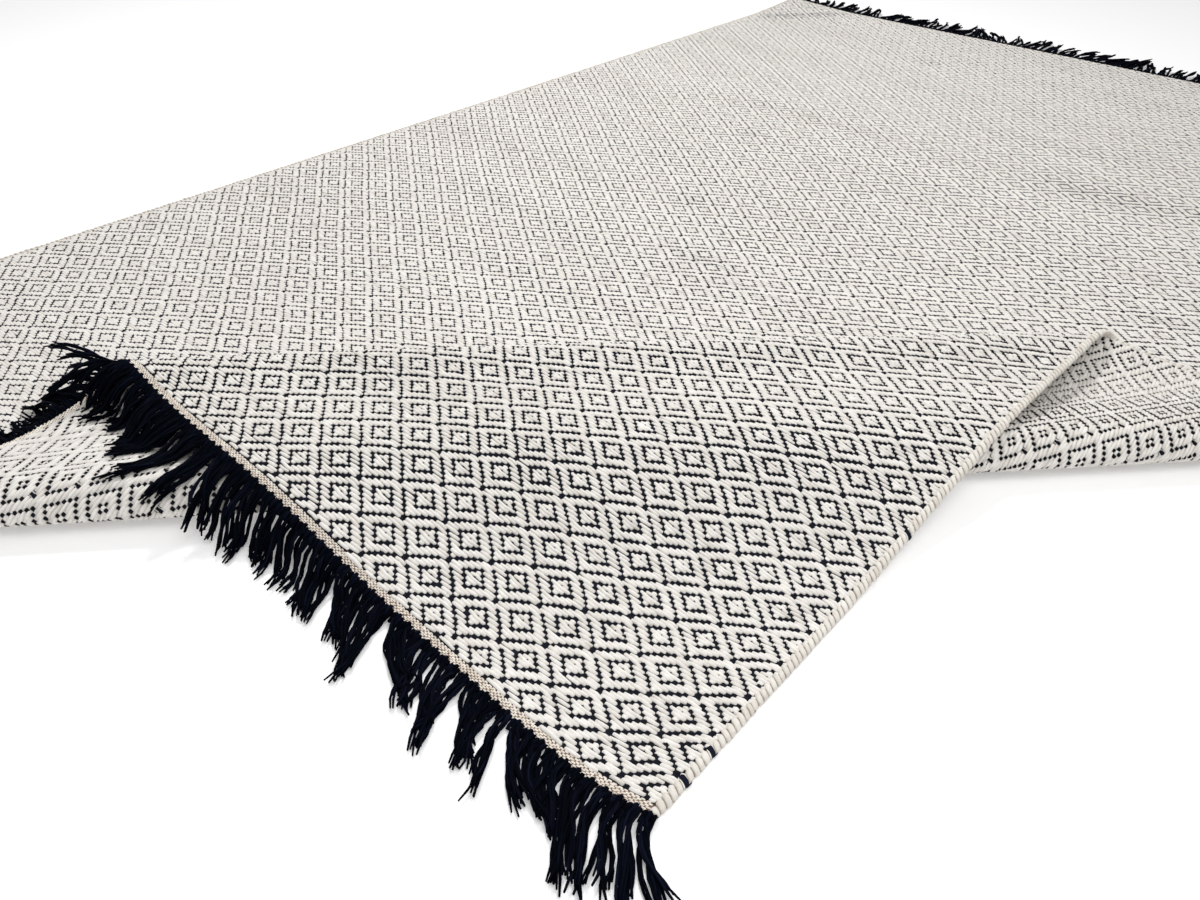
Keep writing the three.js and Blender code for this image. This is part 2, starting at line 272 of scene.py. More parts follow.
# Name, place, aimed at, size (m) and power (W).
LIGHTS = [
    ("window", (-1.1, 0.5, 2.4), (0.2, -0.7, 0), 0.5, 36),
    ("near", (0.9, -0.9, 1.5), (0.42, -1.05, 0), 1.0, 12),
]
FLOOR_HALF = 14.0
FLOOR_TONE = 0.93
FLOOR_GLOW = 0.22
WHITE = (1, 1, 1, 1)


def linked(name, data):
    thing = bpy.data.objects.new(name, data)
    bpy.context.scene.collection.objects.link(thing)
    return thing


def make_camera():
    data = bpy.data.cameras.new("camera")
    data.sensor_width = SENSOR
    data.lens = FOCAL
    data.clip_start = NEAREST_SEEN
    camera = linked("camera", data)
    camera.location = CAMERA_AT
    camera.rotation_euler = (math.pi / 2 - CAMERA_DOWN, 0, CAMERA_AZIMUTH)
    bpy.context.scene.camera = camera


def area_light(name, place, target, size, power):
    data = bpy.data.lights.new(name, "AREA")
    data.size = size
    data.energy = power
    light = linked(name, data)
    light.location = place
    light.rotation_euler = (Vector(target) - Vector(place)).to_track_quat("-Z", "Y").to_euler()


def make_sky():
    """White light that is brightest overhead and dim near the horizon."""
    world = bpy.data.worlds.new("studio")
    world.use_nodes = True
    n = Nodes(world)
    split = n.add("ShaderNodeSeparateXYZ")
    n.link(n.add("ShaderNodeTexCoord").outputs["Generated"], split.inputs[0])
    sky = world.node_tree.nodes["Background"]
    sky.inputs["Color"].default_value = WHITE
    strength = n.math("MULTIPLY_ADD", split.outputs["Z"], SKY_OVERHEAD - SKY_LOW, SKY_LOW)
    n.link(strength, sky.inputs["Strength"])
    return world


def make_stage():
    scene = bpy.context.scene
    scene.view_settings.view_transform = "Standard"
    scene.world = make_sky()
    for light in LIGHTS:
        area_light(*light)
    corners = [(x * FLOOR_HALF, y * FLOOR_HALF, 0) for x, y in ((-1, -1), (1, -1), (1, 1), (-1, 1))]
    data = bpy.data.meshes.new("floor")
    data.from_pydata(corners, [], [(0, 1, 2, 3)])
    material, shader = new_material("floor_paint", 0.9, 0.5)
    shader.inputs["Base Color"].default_value = (FLOOR_TONE, FLOOR_TONE, FLOOR_TONE, 1)
    shader.inputs["Emission Color"].default_value = WHITE
    shader.inputs["Emission Strength"].default_value = FLOOR_GLOW
    data.materials.append(material)
    linked("floor", data)


# ---------------------------------------------------------------- mesh helpers
BAKE_MARGIN = 0.004


def mesh_object(name, points, polygons, maps, tint=None, material_index=None):
    """A mesh from points and a list of (n, 3) and (n, 4) arrays of corners. maps gives UVs per point."""
    data = bpy.data.meshes.new(name)
    points = np.array(points)
    points[:, 2] = np.maximum(points[:, 2], FLOOR_CLEAR)
    counts = np.concatenate([np.full(len(p), p.shape[1]) for p in polygons])
    corners = np.concatenate([p.reshape(-1) for p in polygons]).astype(np.int32)
    data.vertices.add(len(points))
    data.vertices.foreach_set("co", np.ascontiguousarray(points, np.float32).reshape(-1))
    data.loops.add(len(corners))
    data.loops.foreach_set("vertex_index", corners)
    data.polygons.add(len(counts))
    starts = np.concatenate([[0], np.cumsum(counts)[:-1]])
    data.polygons.foreach_set("loop_start", starts.astype(np.int32))
    data.polygons.foreach_set("loop_total", counts.astype(np.int32))
    data.polygons.foreach_set("use_smooth", np.ones(len(counts), bool))
    if material_index is not None:
        data.polygons.foreach_set("material_index", np.asarray(material_index, np.int32))
    for map_name, uv in maps.items():
        layer = data.uv_layers.new(name=map_name)
        layer.data.foreach_set("uv", np.ascontiguousarray(uv[corners], np.float32).reshape(-1))
    if tint is not None:
        data.attributes.new("tint", "FLOAT", "POINT").data.foreach_set("value", tint.astype(np.float32))
    data.update(calc_edges=True)
    data.validate()
    return linked(name, data)


def cloth_maps(u, v):
    """A flat piece's two maps: spread over the unit square for the bake, and in metres of cloth."""
    u, v = u.reshape(-1), v.reshape(-1)
    spread = [(c - c.min()) / (c.max() - c.min()) for c in (u, v)]
    bake = BAKE_MARGIN + (1 - 2 * BAKE_MARGIN) * np.stack(spread, -1)
    return {"OFBake": bake, "cloth": np.stack([u, v], -1)}


def copies(faces, count, size, side=1, first=0):
    """The faces of one small shape of size points, for count of them; turned over on the back."""
    placed = np.array(faces) + first + np.arange(count)[:, None, None] * size
    placed = placed.reshape(-1, placed.shape[-1])
    return placed if side > 0 else placed[:, ::-1]


def wall_faces(rings, sides):
    """The faces between one ring of points and the next."""
    a = np.arange(rings - 1)[:, None] * sides + np.arange(sides)
    b = np.arange(rings - 1)[:, None] * sides + (np.arange(sides) + 1) % sides
    return np.stack([a, a + sides, b + sides, b], -1).reshape(-1, 4)


def swung(u, v, s, t, angle):
    """Where places s along and t aside of each middle lie on the flat rug, turned by its angle."""
    u, v, cos, sin = (values[:, None] for values in (u, v, np.cos(angle), np.sin(angle)))
    return u + s * cos - t * sin, v + s * sin + t * cos


def noisy(rng, size, count):
    return 1 + rng.normal(0, size, count)


def paint(pieces, look):
    for piece in pieces:
        piece.data.materials.append(look)


# ---------------------------------------------------------------- the weave's chart
def weave_place(i, j):
    """Where the crossing of end i and pick j lies on the flat rug; both may be fractions."""
    m, n = i / HALF, j / HALF
    near = np.minimum(n, FAN_STOP)
    u = end_width(m) + (ENDS_FAN * m * near + NEAR_SPREAD * near**2 * (near < 0)) * MM
    v = pick_length(n) - (PICKS_FALL * m + PICKS_CURVE * m**2 + PICKS_FAN * m * near) * MM
    wander = BROAD_WANDER * np.sin(0.31 * m + 0.9) * np.sin(0.27 * n)
    wander = wander + FINE_WANDER * np.sin(0.83 * m + 0.41 * n)
    slack = BROAD_SLACK * np.sin(0.23 * n + 0.4 * m) * np.sin(0.19 * m - 0.6)
    slack = slack + FINE_SLACK * np.sin(0.9 * n - 0.35 * m)
    u, v = u + wander * MM, v + slack * MM
    fade_up, fade_in = edge_shares(u, v)
    outward = set_out(v / MM) * fade_in
    upward = set_back((WIDTH - u) / MM) * fade_up + lifted(v / MM) * fade_in
    return u + outward, v + upward


def in_diamond(end, j):
    """A chart place measured from the middle of the diamond it is in."""
    x = (end + HALF) % REPEAT - HALF
    y = (j + HALF) % REPEAT - HALF
    if abs(x) + abs(y) > HALF:
        x = end % REPEAT - HALF
        y = j % REPEAT - HALF
    return x, y


def top_level(run):
    """The ground's upper face: nearer the floats' tops in the main field than in the fold and flap."""
    return GROUND_LEVEL + (FLAT_GROUND_LEVEL - GROUND_LEVEL) * (1 - smoothstep((run - RUN_UP) / 0.05))


def bound_ends(j, dots):
    """The ends that cross over pick j, and the gaps between them as pairs of ends."""
    down = min(j, REPEAT - j)
    across = [min(i, REPEAT - i) for i in range(REPEAT)]
    rings = [min(x + down, REPEAT - x - down) for x in across]
    bound = [i for i, ring in enumerate(rings) if ring % RING_STEP == dots]
    return bound, list(zip(bound, bound[1:] + [bound[0] + REPEAT]))


def left_out(gap, j):
    """A gap of one end near a diamond's top corner: it has a dot in place of its float."""
    left, right = gap
    return right - left == 2 and in_diamond(left + 1, j)[1] > HALF / 2


def chart_floats(dots):
    """One repeat's weft floats as rows of (middle end, pick, ends it passes over, lean, bow).

    lean is +1 in the bands that fall to the right, -1 in those that rise. bow is the way the middle
    bends, along the rug. The neighbours of a float that is left out reach in towards its place.
    """
    rows = []
    for j in range(REPEAT):
        _, gaps = bound_ends(j, dots)
        hidden = [left_out(gap, j) for gap in gaps]
        for k, (left, right) in enumerate(gaps):
            if hidden[k]:
                continue
            left += -REACH_IN * hidden[k - 1]
            right += REACH_IN * hidden[(k + 1) % len(gaps)]
            middle = (left + right) / 2
            x, y = in_diamond(middle, j)
            bow = (1 if y > 0 else -1) * (abs(x) < 0.5) * (1.4 if abs(y) < 1.5 else 1.0)
            rows.append((middle % REPEAT, j, right - left - 1, np.sign(x * y), bow))
    return rows


def over_the_cloth(chart):
    """One repeat's rows of (end, pick, ...) at every repeat: the ends, the picks and the rest."""
    one = np.array(chart, float)
    shift_i, shift_j = (shift.reshape(-1) for shift in np.meshgrid(REPEATS_ACROSS, REPEATS_ALONG))
    i = (one[:, :1] + shift_i).reshape(-1)
    j = (one[:, 1:2] + shift_j).reshape(-1)
    return i, j, np.repeat(one[:, 2:], shift_i.size, axis=0)


def all_floats(dots):
    """Every float of the cloth as rows: place, ends passed over, lean, bow, end and pick."""
    i, j, rest = over_the_cloth(chart_floats(dots))
    u, v = weave_place(i, j)
    reach = (rest[:, 0] + 1) * HALF_END
    keep = (u + reach > CORD_WIDTH) & (u - reach < WIDTH - CORD_WIDTH)
    keep &= (v > HEADING_DEPTH + HEADING_CLEAR) & (v < LENGTH - HEADING_DEPTH - HEADING_CLEAR)
    return np.column_stack([u, v, rest, i, j])[keep]


# Folds along which the weft opens: run, reach (m) and how much.
OPEN_FOLDS = [(RIDGE_RUN + 0.055, 0.035, 0.4), (CREST_RUN + 0.02, 0.05, 0.45)]
# Places where the weft is packed less and the navy shows: flat place, reach (m) and how much.
OPEN_PLACES = [
    (1.08, 1.66, 0.10, 0.035, 1.0),
    (0.61, 1.19, 0.025, 0.02, 1.0),
    (0.75, 1.04, 0.05, 0.02, 0.8),
    (1.28, 1.31, 0.03, 0.02, 0.9),
    (0.50, 1.50, 0.03, 0.02, 0.8),
    (0.53, 2.13, 0.04, 0.02, 0.9),
]


def openness(u, v, run):
    """0 where the weft is packed tight, towards 1 where it opens: along folds, in streaks, in spots."""
    streak = np.sin(v * 61 + 1.3 * np.sin(u * 3.1)) * np.sin(v * 23 + 0.8) + 0.35 * np.sin(u * 9 + v * 17)
    value = 0.28 * np.clip(streak, 0, 1) ** 2
    for middle, reach, much in OPEN_FOLDS:
        value = value + much * np.exp(-(((run - middle) / reach) ** 2))
    for place_u, place_v, reach_u, reach_v, much in OPEN_PLACES:
        apart = ((u - place_u) / reach_u) ** 2 + ((v - place_v) / reach_v) ** 2
        value = value + much * np.exp(-apart)
    return np.clip(value, 0, 1)


GROUND_LEVEL = 1.45 * MM
FLAT_GROUND_LEVEL = 2.45 * MM
FLOAT_TOP = 3.6 * MM
BOW_DEPTH = 0.9 * MM
# How far each float's tint drops towards its foot: painted shade, darkening the sides and ends of the floats
# where the grooves between them lie in shade.
GROOVE_SHADE_DARKENING = 1.2
DOT_HALF_WIDTH = 1.7 * MM
DOT_HALF_LENGTH = 2.1 * MM
DOT_HEIGHT = 1.5 * MM
MIDDLE_DOTS = [(0, 0.5, 0.5), (HALF, HALF + 0.5, 0.5)]
EDGE_OF_FIELD = CORD_WIDTH * 0.7
HALF_WIDE = 0.60
SHORT_HALF_LONG = 2.7 * MM
SHORT_WIDE, SHORT_TALL = 0.9, 0.8
SHORTEST = 0.5 * MM
LEAN_NOISE, TURN_NOISE = 0.18 * MM, 0.035
LONG_NOISE, WIDE_NOISE, TALL_NOISE = 0.04, 0.06, 0.09
ASIDE_NOISE, AHEAD_NOISE = 0.18 * MM, 0.15 * MM
HALF_ARC = 84
BEAD_FOOT = -0.12
VALLEY_WIDTH = 32 * MM
STATION_SETS = {
    2: ((-0.70, 0.70), (0.98, 0.98), (0.95, 0.95)),
    3: ((-0.87, 0.0, 0.87), (0.85, 1.0, 0.85), (0.66, 1.0, 0.66)),
}


def worn(run, side):
    """How far the floats of the reverse side close over its dots: most along the valley."""
    return np.exp(-(((run - VALLEY_RUN) / VALLEY_WIDTH) ** 2)) * (side < 0)


def bead_mesh(name, floats, side, stations, arcs, dot_widths, lean_over, tilt, rng):
    """Joined beads, one a float: rounded over the top, open below where the ground hides them.

    dot_widths has the gaps between the floats' ends, in the bands that fall to the right and in those
    that rise. A float's ends stay on its pick while its middle leans over, and all of it turns by tilt.
    """
    u, v, over, lean, bow, i, j = floats.T
    run, _ = fold_place(u, v)
    opened = openness(u, v, run)
    ahead_u, ahead_v = weave_place(i + 0.5, j)
    behind_u, behind_v = weave_place(i - 0.5, j)
    end_pitch = np.hypot(ahead_u - behind_u, ahead_v - behind_v)
    up_u, up_v = weave_place(i, j + 0.5)
    low_u, low_v = weave_place(i, j - 0.5)
    pick_pitch = np.hypot(up_u - low_u, up_v - low_v)
    weft = np.arctan2(ahead_v - behind_v, ahead_u - behind_u)
    count = len(u)
    short = over <= 1
    aslant = np.where(lean == 0, lean_over * 2 / 3, lean_over)
    aslant = (aslant + rng.normal(0, LEAN_NOISE, count)) * side
    aslant = np.where(short, 0, aslant)
    angle = weft + side * tilt * np.minimum(1, (over - 1) / 2) * (bow == 0)
    angle = angle + rng.normal(0, TURN_NOISE, count)
    dot = np.where(lean * side < 0, dot_widths[1], dot_widths[0]) * (1 + 0.35 * opened)
    dot = dot * (1 - 0.55 * worn(run, side))
    half_long = ((over + 1) * end_pitch - dot) / 2
    half_long = np.where(short, SHORT_HALF_LONG, half_long)
    half_long = half_long * noisy(rng, LONG_NOISE, count)
    half_wide = HALF_WIDE * pick_pitch * (1 - 0.20 * opened) * noisy(rng, WIDE_NOISE, count)
    half_wide = np.where(short, half_wide * SHORT_WIDE, half_wide)
    base = top_level(run) if side > 0 else GROUND_LEVEL
    tall = (FLOAT_TOP - base) * (1 - 0.15 * opened) * noisy(rng, TALL_NOISE, count)
    tall = np.where(short, tall * SHORT_TALL, tall)
    u = u + rng.normal(0, ASIDE_NOISE, count)
    v = v + rng.normal(0, AHEAD_NOISE, count)
    starts = np.clip(u - half_long, EDGE_OF_FIELD, WIDTH - EDGE_OF_FIELD)
    stops = np.clip(u + half_long, EDGE_OF_FIELD, WIDTH - EDGE_OF_FIELD)
    u, half_long = (starts + stops) / 2, np.maximum((stops - starts) / 2, SHORTEST)

    at, wide, rise = (np.array(values) for values in STATION_SETS[stations])
    turn = np.radians(np.linspace(-HALF_ARC, HALF_ARC, arcs))
    along_bead = np.concatenate([[-1.0], np.repeat(at, arcs), [1.0]])
    aside = np.concatenate([[0.0], (wide[:, None] * np.sin(turn)).reshape(-1), [0.0]])
    above = np.concatenate([[BEAD_FOOT], (rise[:, None] * np.cos(turn)).reshape(-1), [BEAD_FOOT]])
    s = half_long[:, None] * along_bead
    t = half_wide[:, None] * aside + BOW_DEPTH * bow[:, None] * (0.5 - along_bead**2)
    t = t + aslant[:, None] * np.sin(math.pi * along_bead)
    level = side * (np.reshape(base, (-1, 1)) + tall[:, None] * above)
    pu, pv = swung(u, v, s, t, angle)
    points = laid(pu, pv, level).reshape(-1, 3)

    per_bead = len(along_bead)
    quads, tris = [], []
    for k in range(stations - 1):
        for m in range(arcs - 1):
            a = 1 + k * arcs + m
            quads.append((a, a + arcs, a + arcs + 1, a + 1))
    last = 1 + (stations - 1) * arcs
    for m in range(arcs - 1):
        tris.append((0, 1 + m, 2 + m))
        tris.append((per_bead - 1, last + m + 1, last + m))
    polygons = [copies(faces, count, per_bead, side) for faces in (quads, tris)]
    # The tint is each float's own tone, less painted shade that grows from its top down to its foot.
    tint = np.repeat(rng.normal(0.5, 0.18, count), per_bead) - GROOVE_SHADE_DARKENING * np.tile(1 - above, count)
    return mesh_object(name, points, polygons, cloth_maps(pu, pv), tint)


# ---------------------------------------------------------------- materials
def new_material(name, roughness, specular):
    material = bpy.data.materials.new(name)
    material.use_nodes = True
    shader = material.node_tree.nodes["Principled BSDF"]
    shader.inputs["Roughness"].default_value = roughness
    shader.inputs["Specular IOR Level"].default_value = specular
    return material, shader


class Nodes:
    """Short calls for building a material's node tree."""

    def __init__(self, material):
        self.tree = material.node_tree

    def add(self, kind, **settings):
        node = self.tree.nodes.new(kind)
        for key, value in settings.items():
            setattr(node, key, value)
        return node

    def link(self, source, target):
        self.tree.links.new(source, target)

    def math(self, operation, *inputs):
        node = self.add("ShaderNodeMath", operation=operation)
        for socket, value in zip(node.inputs, inputs):
            if isinstance(value, (int, float)):
                socket.default_value = value
            else:
                self.link(value, socket)
        return node.outputs[0]

    def uv(self, name):
        return self.add("ShaderNodeUVMap", uv_map=name).outputs["UV"]

    def tint(self):
        return self.add("ShaderNodeAttribute", attribute_name="tint").outputs["Fac"]

    def chart(self):
        """The chart place: its end and its pick."""
        split = self.add("ShaderNodeSeparateXYZ")
        self.link(self.uv("chart"), split.inputs[0])
        return split.outputs["X"], split.outputs["Y"]

    def noise(self, across, along, detail, roughness):
        """Noise over the flat cloth, finer as across and along are larger."""
        place = self.add("ShaderNodeMapping")
        self.link(self.uv("cloth"), place.inputs["Vector"])
        place.inputs["Scale"].default_value = (across, along, 1)
        node = self.add("ShaderNodeTexNoise")
        self.link(place.outputs["Vector"], node.inputs["Vector"])
        node.inputs["Scale"].default_value = 1.0
        node.inputs["Detail"].default_value = detail
        node.inputs["Roughness"].default_value = roughness
        return node.outputs["Fac"]

    def ramp(self, factor, stops):
        node = self.add("ShaderNodeValToRGB")
        self.link(factor, node.inputs["Fac"])
        elements = node.color_ramp.elements
        while len(elements) < len(stops):
            elements.new(0.5)
        for element, (place, colour) in zip(elements, stops):
            element.position = place
            element.color = (*colour, 1)
        return node.outputs["Color"]

    def mix(self, factor, a, b):
        node = self.add("ShaderNodeMix", data_type="RGBA")
        for socket, value in zip((node.inputs[0], node.inputs[6], node.inputs[7]), (factor, a, b)):
            if isinstance(value, (int, float)):
                socket.default_value = value
            elif isinstance(value, tuple):
                socket.default_value = (*value, 1)
            else:
                self.link(value, socket)
        return node.outputs[2]

    def finish(self, shader, colour, height, distance, strength):
        """Gives the shader its colour and its bump."""
        bump = self.add("ShaderNodeBump")
        bump.inputs["Distance"].default_value = distance
        bump.inputs["Strength"].default_value = strength
        self.link(height, bump.inputs["Height"])
        self.link(bump.outputs["Normal"], shader.inputs["Normal"])
        self.link(colour, shader.inputs["Base Color"])


IVORY_DEEP = (0.79, 0.755, 0.71)
IVORY_LIGHT = (0.94, 0.915, 0.88)
# Ivory darkened by a quarter: painted shade for the ground seen between the floats of the back.
IVORY_PAINTED_SHADE = tuple(0.75 * part for part in IVORY_DEEP)
# Painted shade: the colour the yarn's ramp reaches at the floats' feet, where the grooves between floats are
# shaded.
PAINTED_GROOVE_SHADE = (0.44, 0.40, 0.35)
NAVY = (0.008, 0.010, 0.022)
NAVY_STOPS = [(0.3, tuple(0.5 * part for part in NAVY)), (0.75, tuple(1.5 * part for part in NAVY))]
STRAND_STOPS = [
    (0.3, (0.0008, 0.0012, 0.0028)),
    (0.55, (0.002, 0.003, 0.0075)),
    (0.8, (0.0055, 0.0075, 0.018)),
]
# Selvedge wrap colours: the dark first stop is painted shade in the crevices between turns; the others are
# the yarn's tones.
WRAP_TONES_AND_CREVICE_SHADE = [(0.0, (0.20, 0.165, 0.13)), (0.35, (0.68, 0.63, 0.56)), (0.60, (0.86, 0.83, 0.78))]
BAND_STOPS = [(0.3, (0.66, 0.58, 0.49)), (0.56, (0.89, 0.84, 0.76))]
BAND_UNDER = (0.17, 0.11, 0.085)
# A dot on the ground is an ellipse: one over its half width and half length in threads, squared.
DOT_ELLIPSE = (5.0, 0.6)
REPEATS_BEFORE = 60


def yarn_material(name):
    """Soft-spun yarn: fibres along the weft, thick and thin places, each float's own tone, and painted shade
    in the grooves, which the tint darkens towards each float's foot.
    """
    material, shader = new_material(name, 0.92, 0.1)
    n = Nodes(material)
    fibres = n.noise(260, 1500, 4.0, 0.62)
    thick = n.noise(55, 120, 2.0, 0.55)
    broad = n.noise(1.1, 7.5, 3.0, 0.55)
    tone = n.math("MULTIPLY_ADD", fibres, 0.45, n.math("MULTIPLY", thick, 0.25))
    tone = n.math("ADD", tone, n.math("MULTIPLY_ADD", n.tint(), 0.22, n.math("MULTIPLY", broad, 0.2)))
    # The darkest stop is painted shade in the grooves; the other two are the yarn's own tones.
    colour = n.ramp(tone, [(0.12, PAINTED_GROOVE_SHADE), (0.40, IVORY_DEEP), (0.66, IVORY_LIGHT)])
    n.finish(shader, colour, n.math("MULTIPLY_ADD", thick, 0.6, fibres), 0.0007, 0.75)
    return material


def ribs(n, fibres, threads):
    """The height of one rib a thread, with fibres over it."""
    swell = n.math("COSINE", n.math("MULTIPLY", threads, 2 * math.pi))
    return n.math("MULTIPLY_ADD", fibres, 0.4, swell)


def warp_material(name):
    """The navy warp under the floats: ribs along the rug."""
    material, shader = new_material(name, 0.9, 0.2)
    n = Nodes(material)
    end, _ = n.chart()
    fibres = n.noise(1300, 200, 3.0, 0.6)
    n.finish(shader, n.ramp(fibres, NAVY_STOPS), ribs(n, fibres, end), 0.0006, 0.8)
    return material


def ground_material(name, dots):
    """The ground of the back: navy warp at the chart's crossings, elsewhere the weft's colour darkened as
    painted shade between the floats.
    """
    material, shader = new_material(name, 0.9, 0.2)
    n = Nodes(material)

    def from_edge(place):
        return n.math("MINIMUM", place, n.math("SUBTRACT", REPEAT, place))

    rings, apart = [], []
    for place, stretch in zip(n.chart(), DOT_ELLIPSE):
        nearest = n.math("ROUND", place)
        inside = n.math("MODULO", n.math("ADD", nearest, REPEAT * REPEATS_BEFORE), REPEAT)
        rings.append(from_edge(inside))
        off = n.math("SUBTRACT", place, nearest)
        apart.append(n.math("MULTIPLY", n.math("MULTIPLY", off, off), stretch))
    ring = from_edge(n.math("ADD", *rings))
    chosen = n.math("COMPARE", n.math("MODULO", ring, RING_STEP), dots, 0.1)
    dark = n.math("MULTIPLY", chosen, n.math("LESS_THAN", n.math("ADD", *apart), 1.0))
    fibres = n.noise(300, 1300, 3.0, 0.6)
    # The weft between the back's floats, drawn darker as painted shade.
    weft_in_painted_shade = n.ramp(fibres, [(0.3, IVORY_PAINTED_SHADE), (0.7, IVORY_DEEP)])
    n.finish(shader, n.mix(dark, weft_in_painted_shade, n.ramp(fibres, NAVY_STOPS)), ribs(n, fibres, off), 0.0006, 0.6)
    return material


def navy_material(name, shine):
    material, shader = new_material(name, 0.8, shine)
    n = Nodes(material)
    fibres = n.noise(900, 160, 4.0, 0.65)
    tone = n.math("MULTIPLY_ADD", n.tint(), 0.5, n.math("MULTIPLY", fibres, 0.5))
    n.finish(shader, n.ramp(tone, STRAND_STOPS), fibres, 0.0005, 0.8)
    return material


def selvedge_material():
    material, shader = new_material("selvedge_yarn", 0.92, 0.1)
    n = Nodes(material)
    fibres = n.noise(260, 1500, 4.0, 0.6)
    thick = n.noise(90, 90, 2.0, 0.55)
    # The tint, without the navy mark, carries each wrap's tone and the painted crevice shade.
    plain = n.math("MINIMUM", n.tint(), 1.0)
    tone = n.math("MULTIPLY_ADD", plain, 0.2, n.math("MULTIPLY", thick, 0.3))
    tone = n.math("ADD", n.math("MULTIPLY", fibres, 0.5), tone)
    navy = n.math("GREATER_THAN", n.tint(), NAVY_TINT - 1)
    colour = n.mix(navy, n.ramp(tone, WRAP_TONES_AND_CREVICE_SHADE), NAVY)
    n.finish(shader, colour, n.math("MULTIPLY_ADD", thick, 0.5, fibres), 0.0007, 0.7)
    return material


def heading_material():
    material, shader = new_material("heading_yarn", 0.9, 0.2)
    n = Nodes(material)
    fibres = n.noise(500, 1800, 3.0, 0.6)
    tone = n.math("MULTIPLY_ADD", n.tint(), 0.5, n.math("MULTIPLY", fibres, 0.4))
    under = n.math("LESS_THAN", n.tint(), 0.0)
    n.finish(shader, n.mix(under, n.ramp(tone, BAND_STOPS), BAND_UNDER), fibres, 0.0003, 0.6)
    return material


# ---------------------------------------------------------------- the ground sheet
MAX_TURN = math.radians(6)
MAX_STRIP = 0.03
MAX_FLAT_STRIP = 0.09
GROUND_BAND = 0.05
EDGE_STEP = 0.02
UNDERSIDE = -(RESTING - FLOOR_CLEAR)
# Where the two sides of the ground lie on the bake map.
BAKE_SIDE = (0.485, 0.99)
BAKE_FACE, BAKE_BACK = (0.005, 0.005), (0.51, 0.005)


def rulings():
    """Where the sheet is cut across the folds: close together where any station bends."""
    runs = np.arange(0, DIAGONAL, MM / 2)
    bends = np.zeros(len(runs))
    raised = np.zeros(len(runs), bool)
    for along in (LEFT_STATION, (LEFT_STATION + RIGHT_STATION) / 2, RIGHT_STATION):
        out, up = section(runs, along)
        heading = np.unwrap(np.arctan2(np.gradient(up), np.gradient(out)))
        bends = np.maximum(bends, np.abs(np.gradient(heading)))
        raised |= up > RESTING * 1.001
    lines, since, last = [], 0.0, 0.0
    for run, bend, up in zip(runs, bends, raised):
        since += bend
        if since < MAX_TURN and run - last < (MAX_STRIP if up else MAX_FLAT_STRIP):
            continue
        lines.append(run)
        since, last = 0.0, run
    return lines


def under_level(run):
    """The ground's lower face: down on the floor where the sheet lies flat, thin through the folds."""
    thin = between(run, RUN_UP - 0.05, RIDGE_RUN + 0.10, 0.04)
    return UNDERSIDE + (-GROUND_LEVEL - UNDERSIDE) * thin


def chart_of(u, v):
    """The chart place of a flat place, by Newton steps from an even weave."""
    i = (u - EVEN_MIDDLE[0]) / EVEN_END
    j = (v - EVEN_MIDDLE[1]) / EVEN_PICK
    for _ in range(25):
        pu, pv = weave_place(i, j)
        i = i + (u - pu) / EVEN_END
        j = j + (v - pv) / EVEN_PICK
    return i, j


def make_ground():
    inset = CORD_WIDTH * 0.6
    left, right = inset, WIDTH - inset
    near, far = HEADING_DEPTH, LENGTH - HEADING_DEPTH
    steps_u = np.linspace(left, right, round((right - left) / EDGE_STEP) + 1)
    steps_v = np.linspace(near, far, round((far - near) / EDGE_STEP) + 1)
    outline = [(u, near) for u in steps_u[:-1]] + [(right, v) for v in steps_v[:-1]]
    outline += [(u, far) for u in steps_u[:0:-1]] + [(left, v) for v in steps_v[:0:-1]]
    sheet = bmesh.new()
    ring = []
    for u, v in outline:
        ring.append(sheet.verts.new((*uneven(u, v), 0)))
    sheet.faces.new(ring)
    cuts = [(CORNER + ACROSS * (run - DIAGONAL), ACROSS) for run in rulings()]
    for along in np.arange(-2.6, 2.6, GROUND_BAND):
        cuts.append((CORNER + ALONG * along, ALONG))
    for place, normal in cuts:
        whole = sheet.verts[:] + sheet.edges[:] + sheet.faces[:]
        bmesh.ops.bisect_plane(sheet, geom=whole, dist=1e-6, plane_co=(*place, 0), plane_no=(*normal, 0))
    bmesh.ops.triangulate(sheet, faces=sheet.faces[:])
    sheet.verts.index_update()
    flat = np.array([vert.co[:2] for vert in sheet.verts])
    faces = np.array([[vert.index for vert in face.verts] for face in sheet.faces])
    sheet.normal_update()
    if sum(face.normal.z for face in sheet.faces) < 0:
        faces = faces[:, ::-1]
    rim = []
    for a, b, c in faces:
        rim += [(a, b), (b, c), (c, a)]
    known = set(map(tuple, rim))
    rim = np.array([edge for edge in rim if (edge[1], edge[0]) not in known])
    sheet.free()

    u, v = flat_from_uneven(flat[:, 0], flat[:, 1])
    run, _ = fold_place(u, v)
    count = len(flat)
    top = laid(u, v, top_level(run))
    low = laid(u, v, under_level(run))
    points = np.vstack([top, low])
    walls = np.column_stack([rim[:, 1], rim[:, 0], rim[:, 0] + count, rim[:, 1] + count])
    polygons = [faces, faces[:, ::-1] + count, walls]
    which = np.concatenate([np.zeros(len(faces)), np.ones(len(faces)), np.zeros(len(walls))])
    i, j = chart_of(u, v)
    chart = np.tile(np.stack([i, j], -1), (2, 1))
    square = np.stack([u / WIDTH, v / LENGTH], -1)
    bake = np.vstack([square * BAKE_SIDE + corner for corner in (BAKE_FACE, BAKE_BACK)])
    cloth = np.tile(np.stack([u, v], -1), (2, 1))
    maps = {"OFBake": bake, "chart": chart, "cloth": cloth}
    ground = mesh_object("ground_weave", points, polygons, maps, material_index=which)
    ground.data.materials.append(warp_material("ground_face"))
    ground.data.materials.append(ground_material("ground_back", BACK_DOTS))
    return ground


def flat_from_uneven(x, y):
    """The flat place that uneven() moves to (x, y)."""
    u, v = x + WIDTH / 2, y + LENGTH / 2
    for _ in range(12):
        px, py = uneven(u, v)
        u = u + (x - px)
        v = v + (y - py)
    return u, v


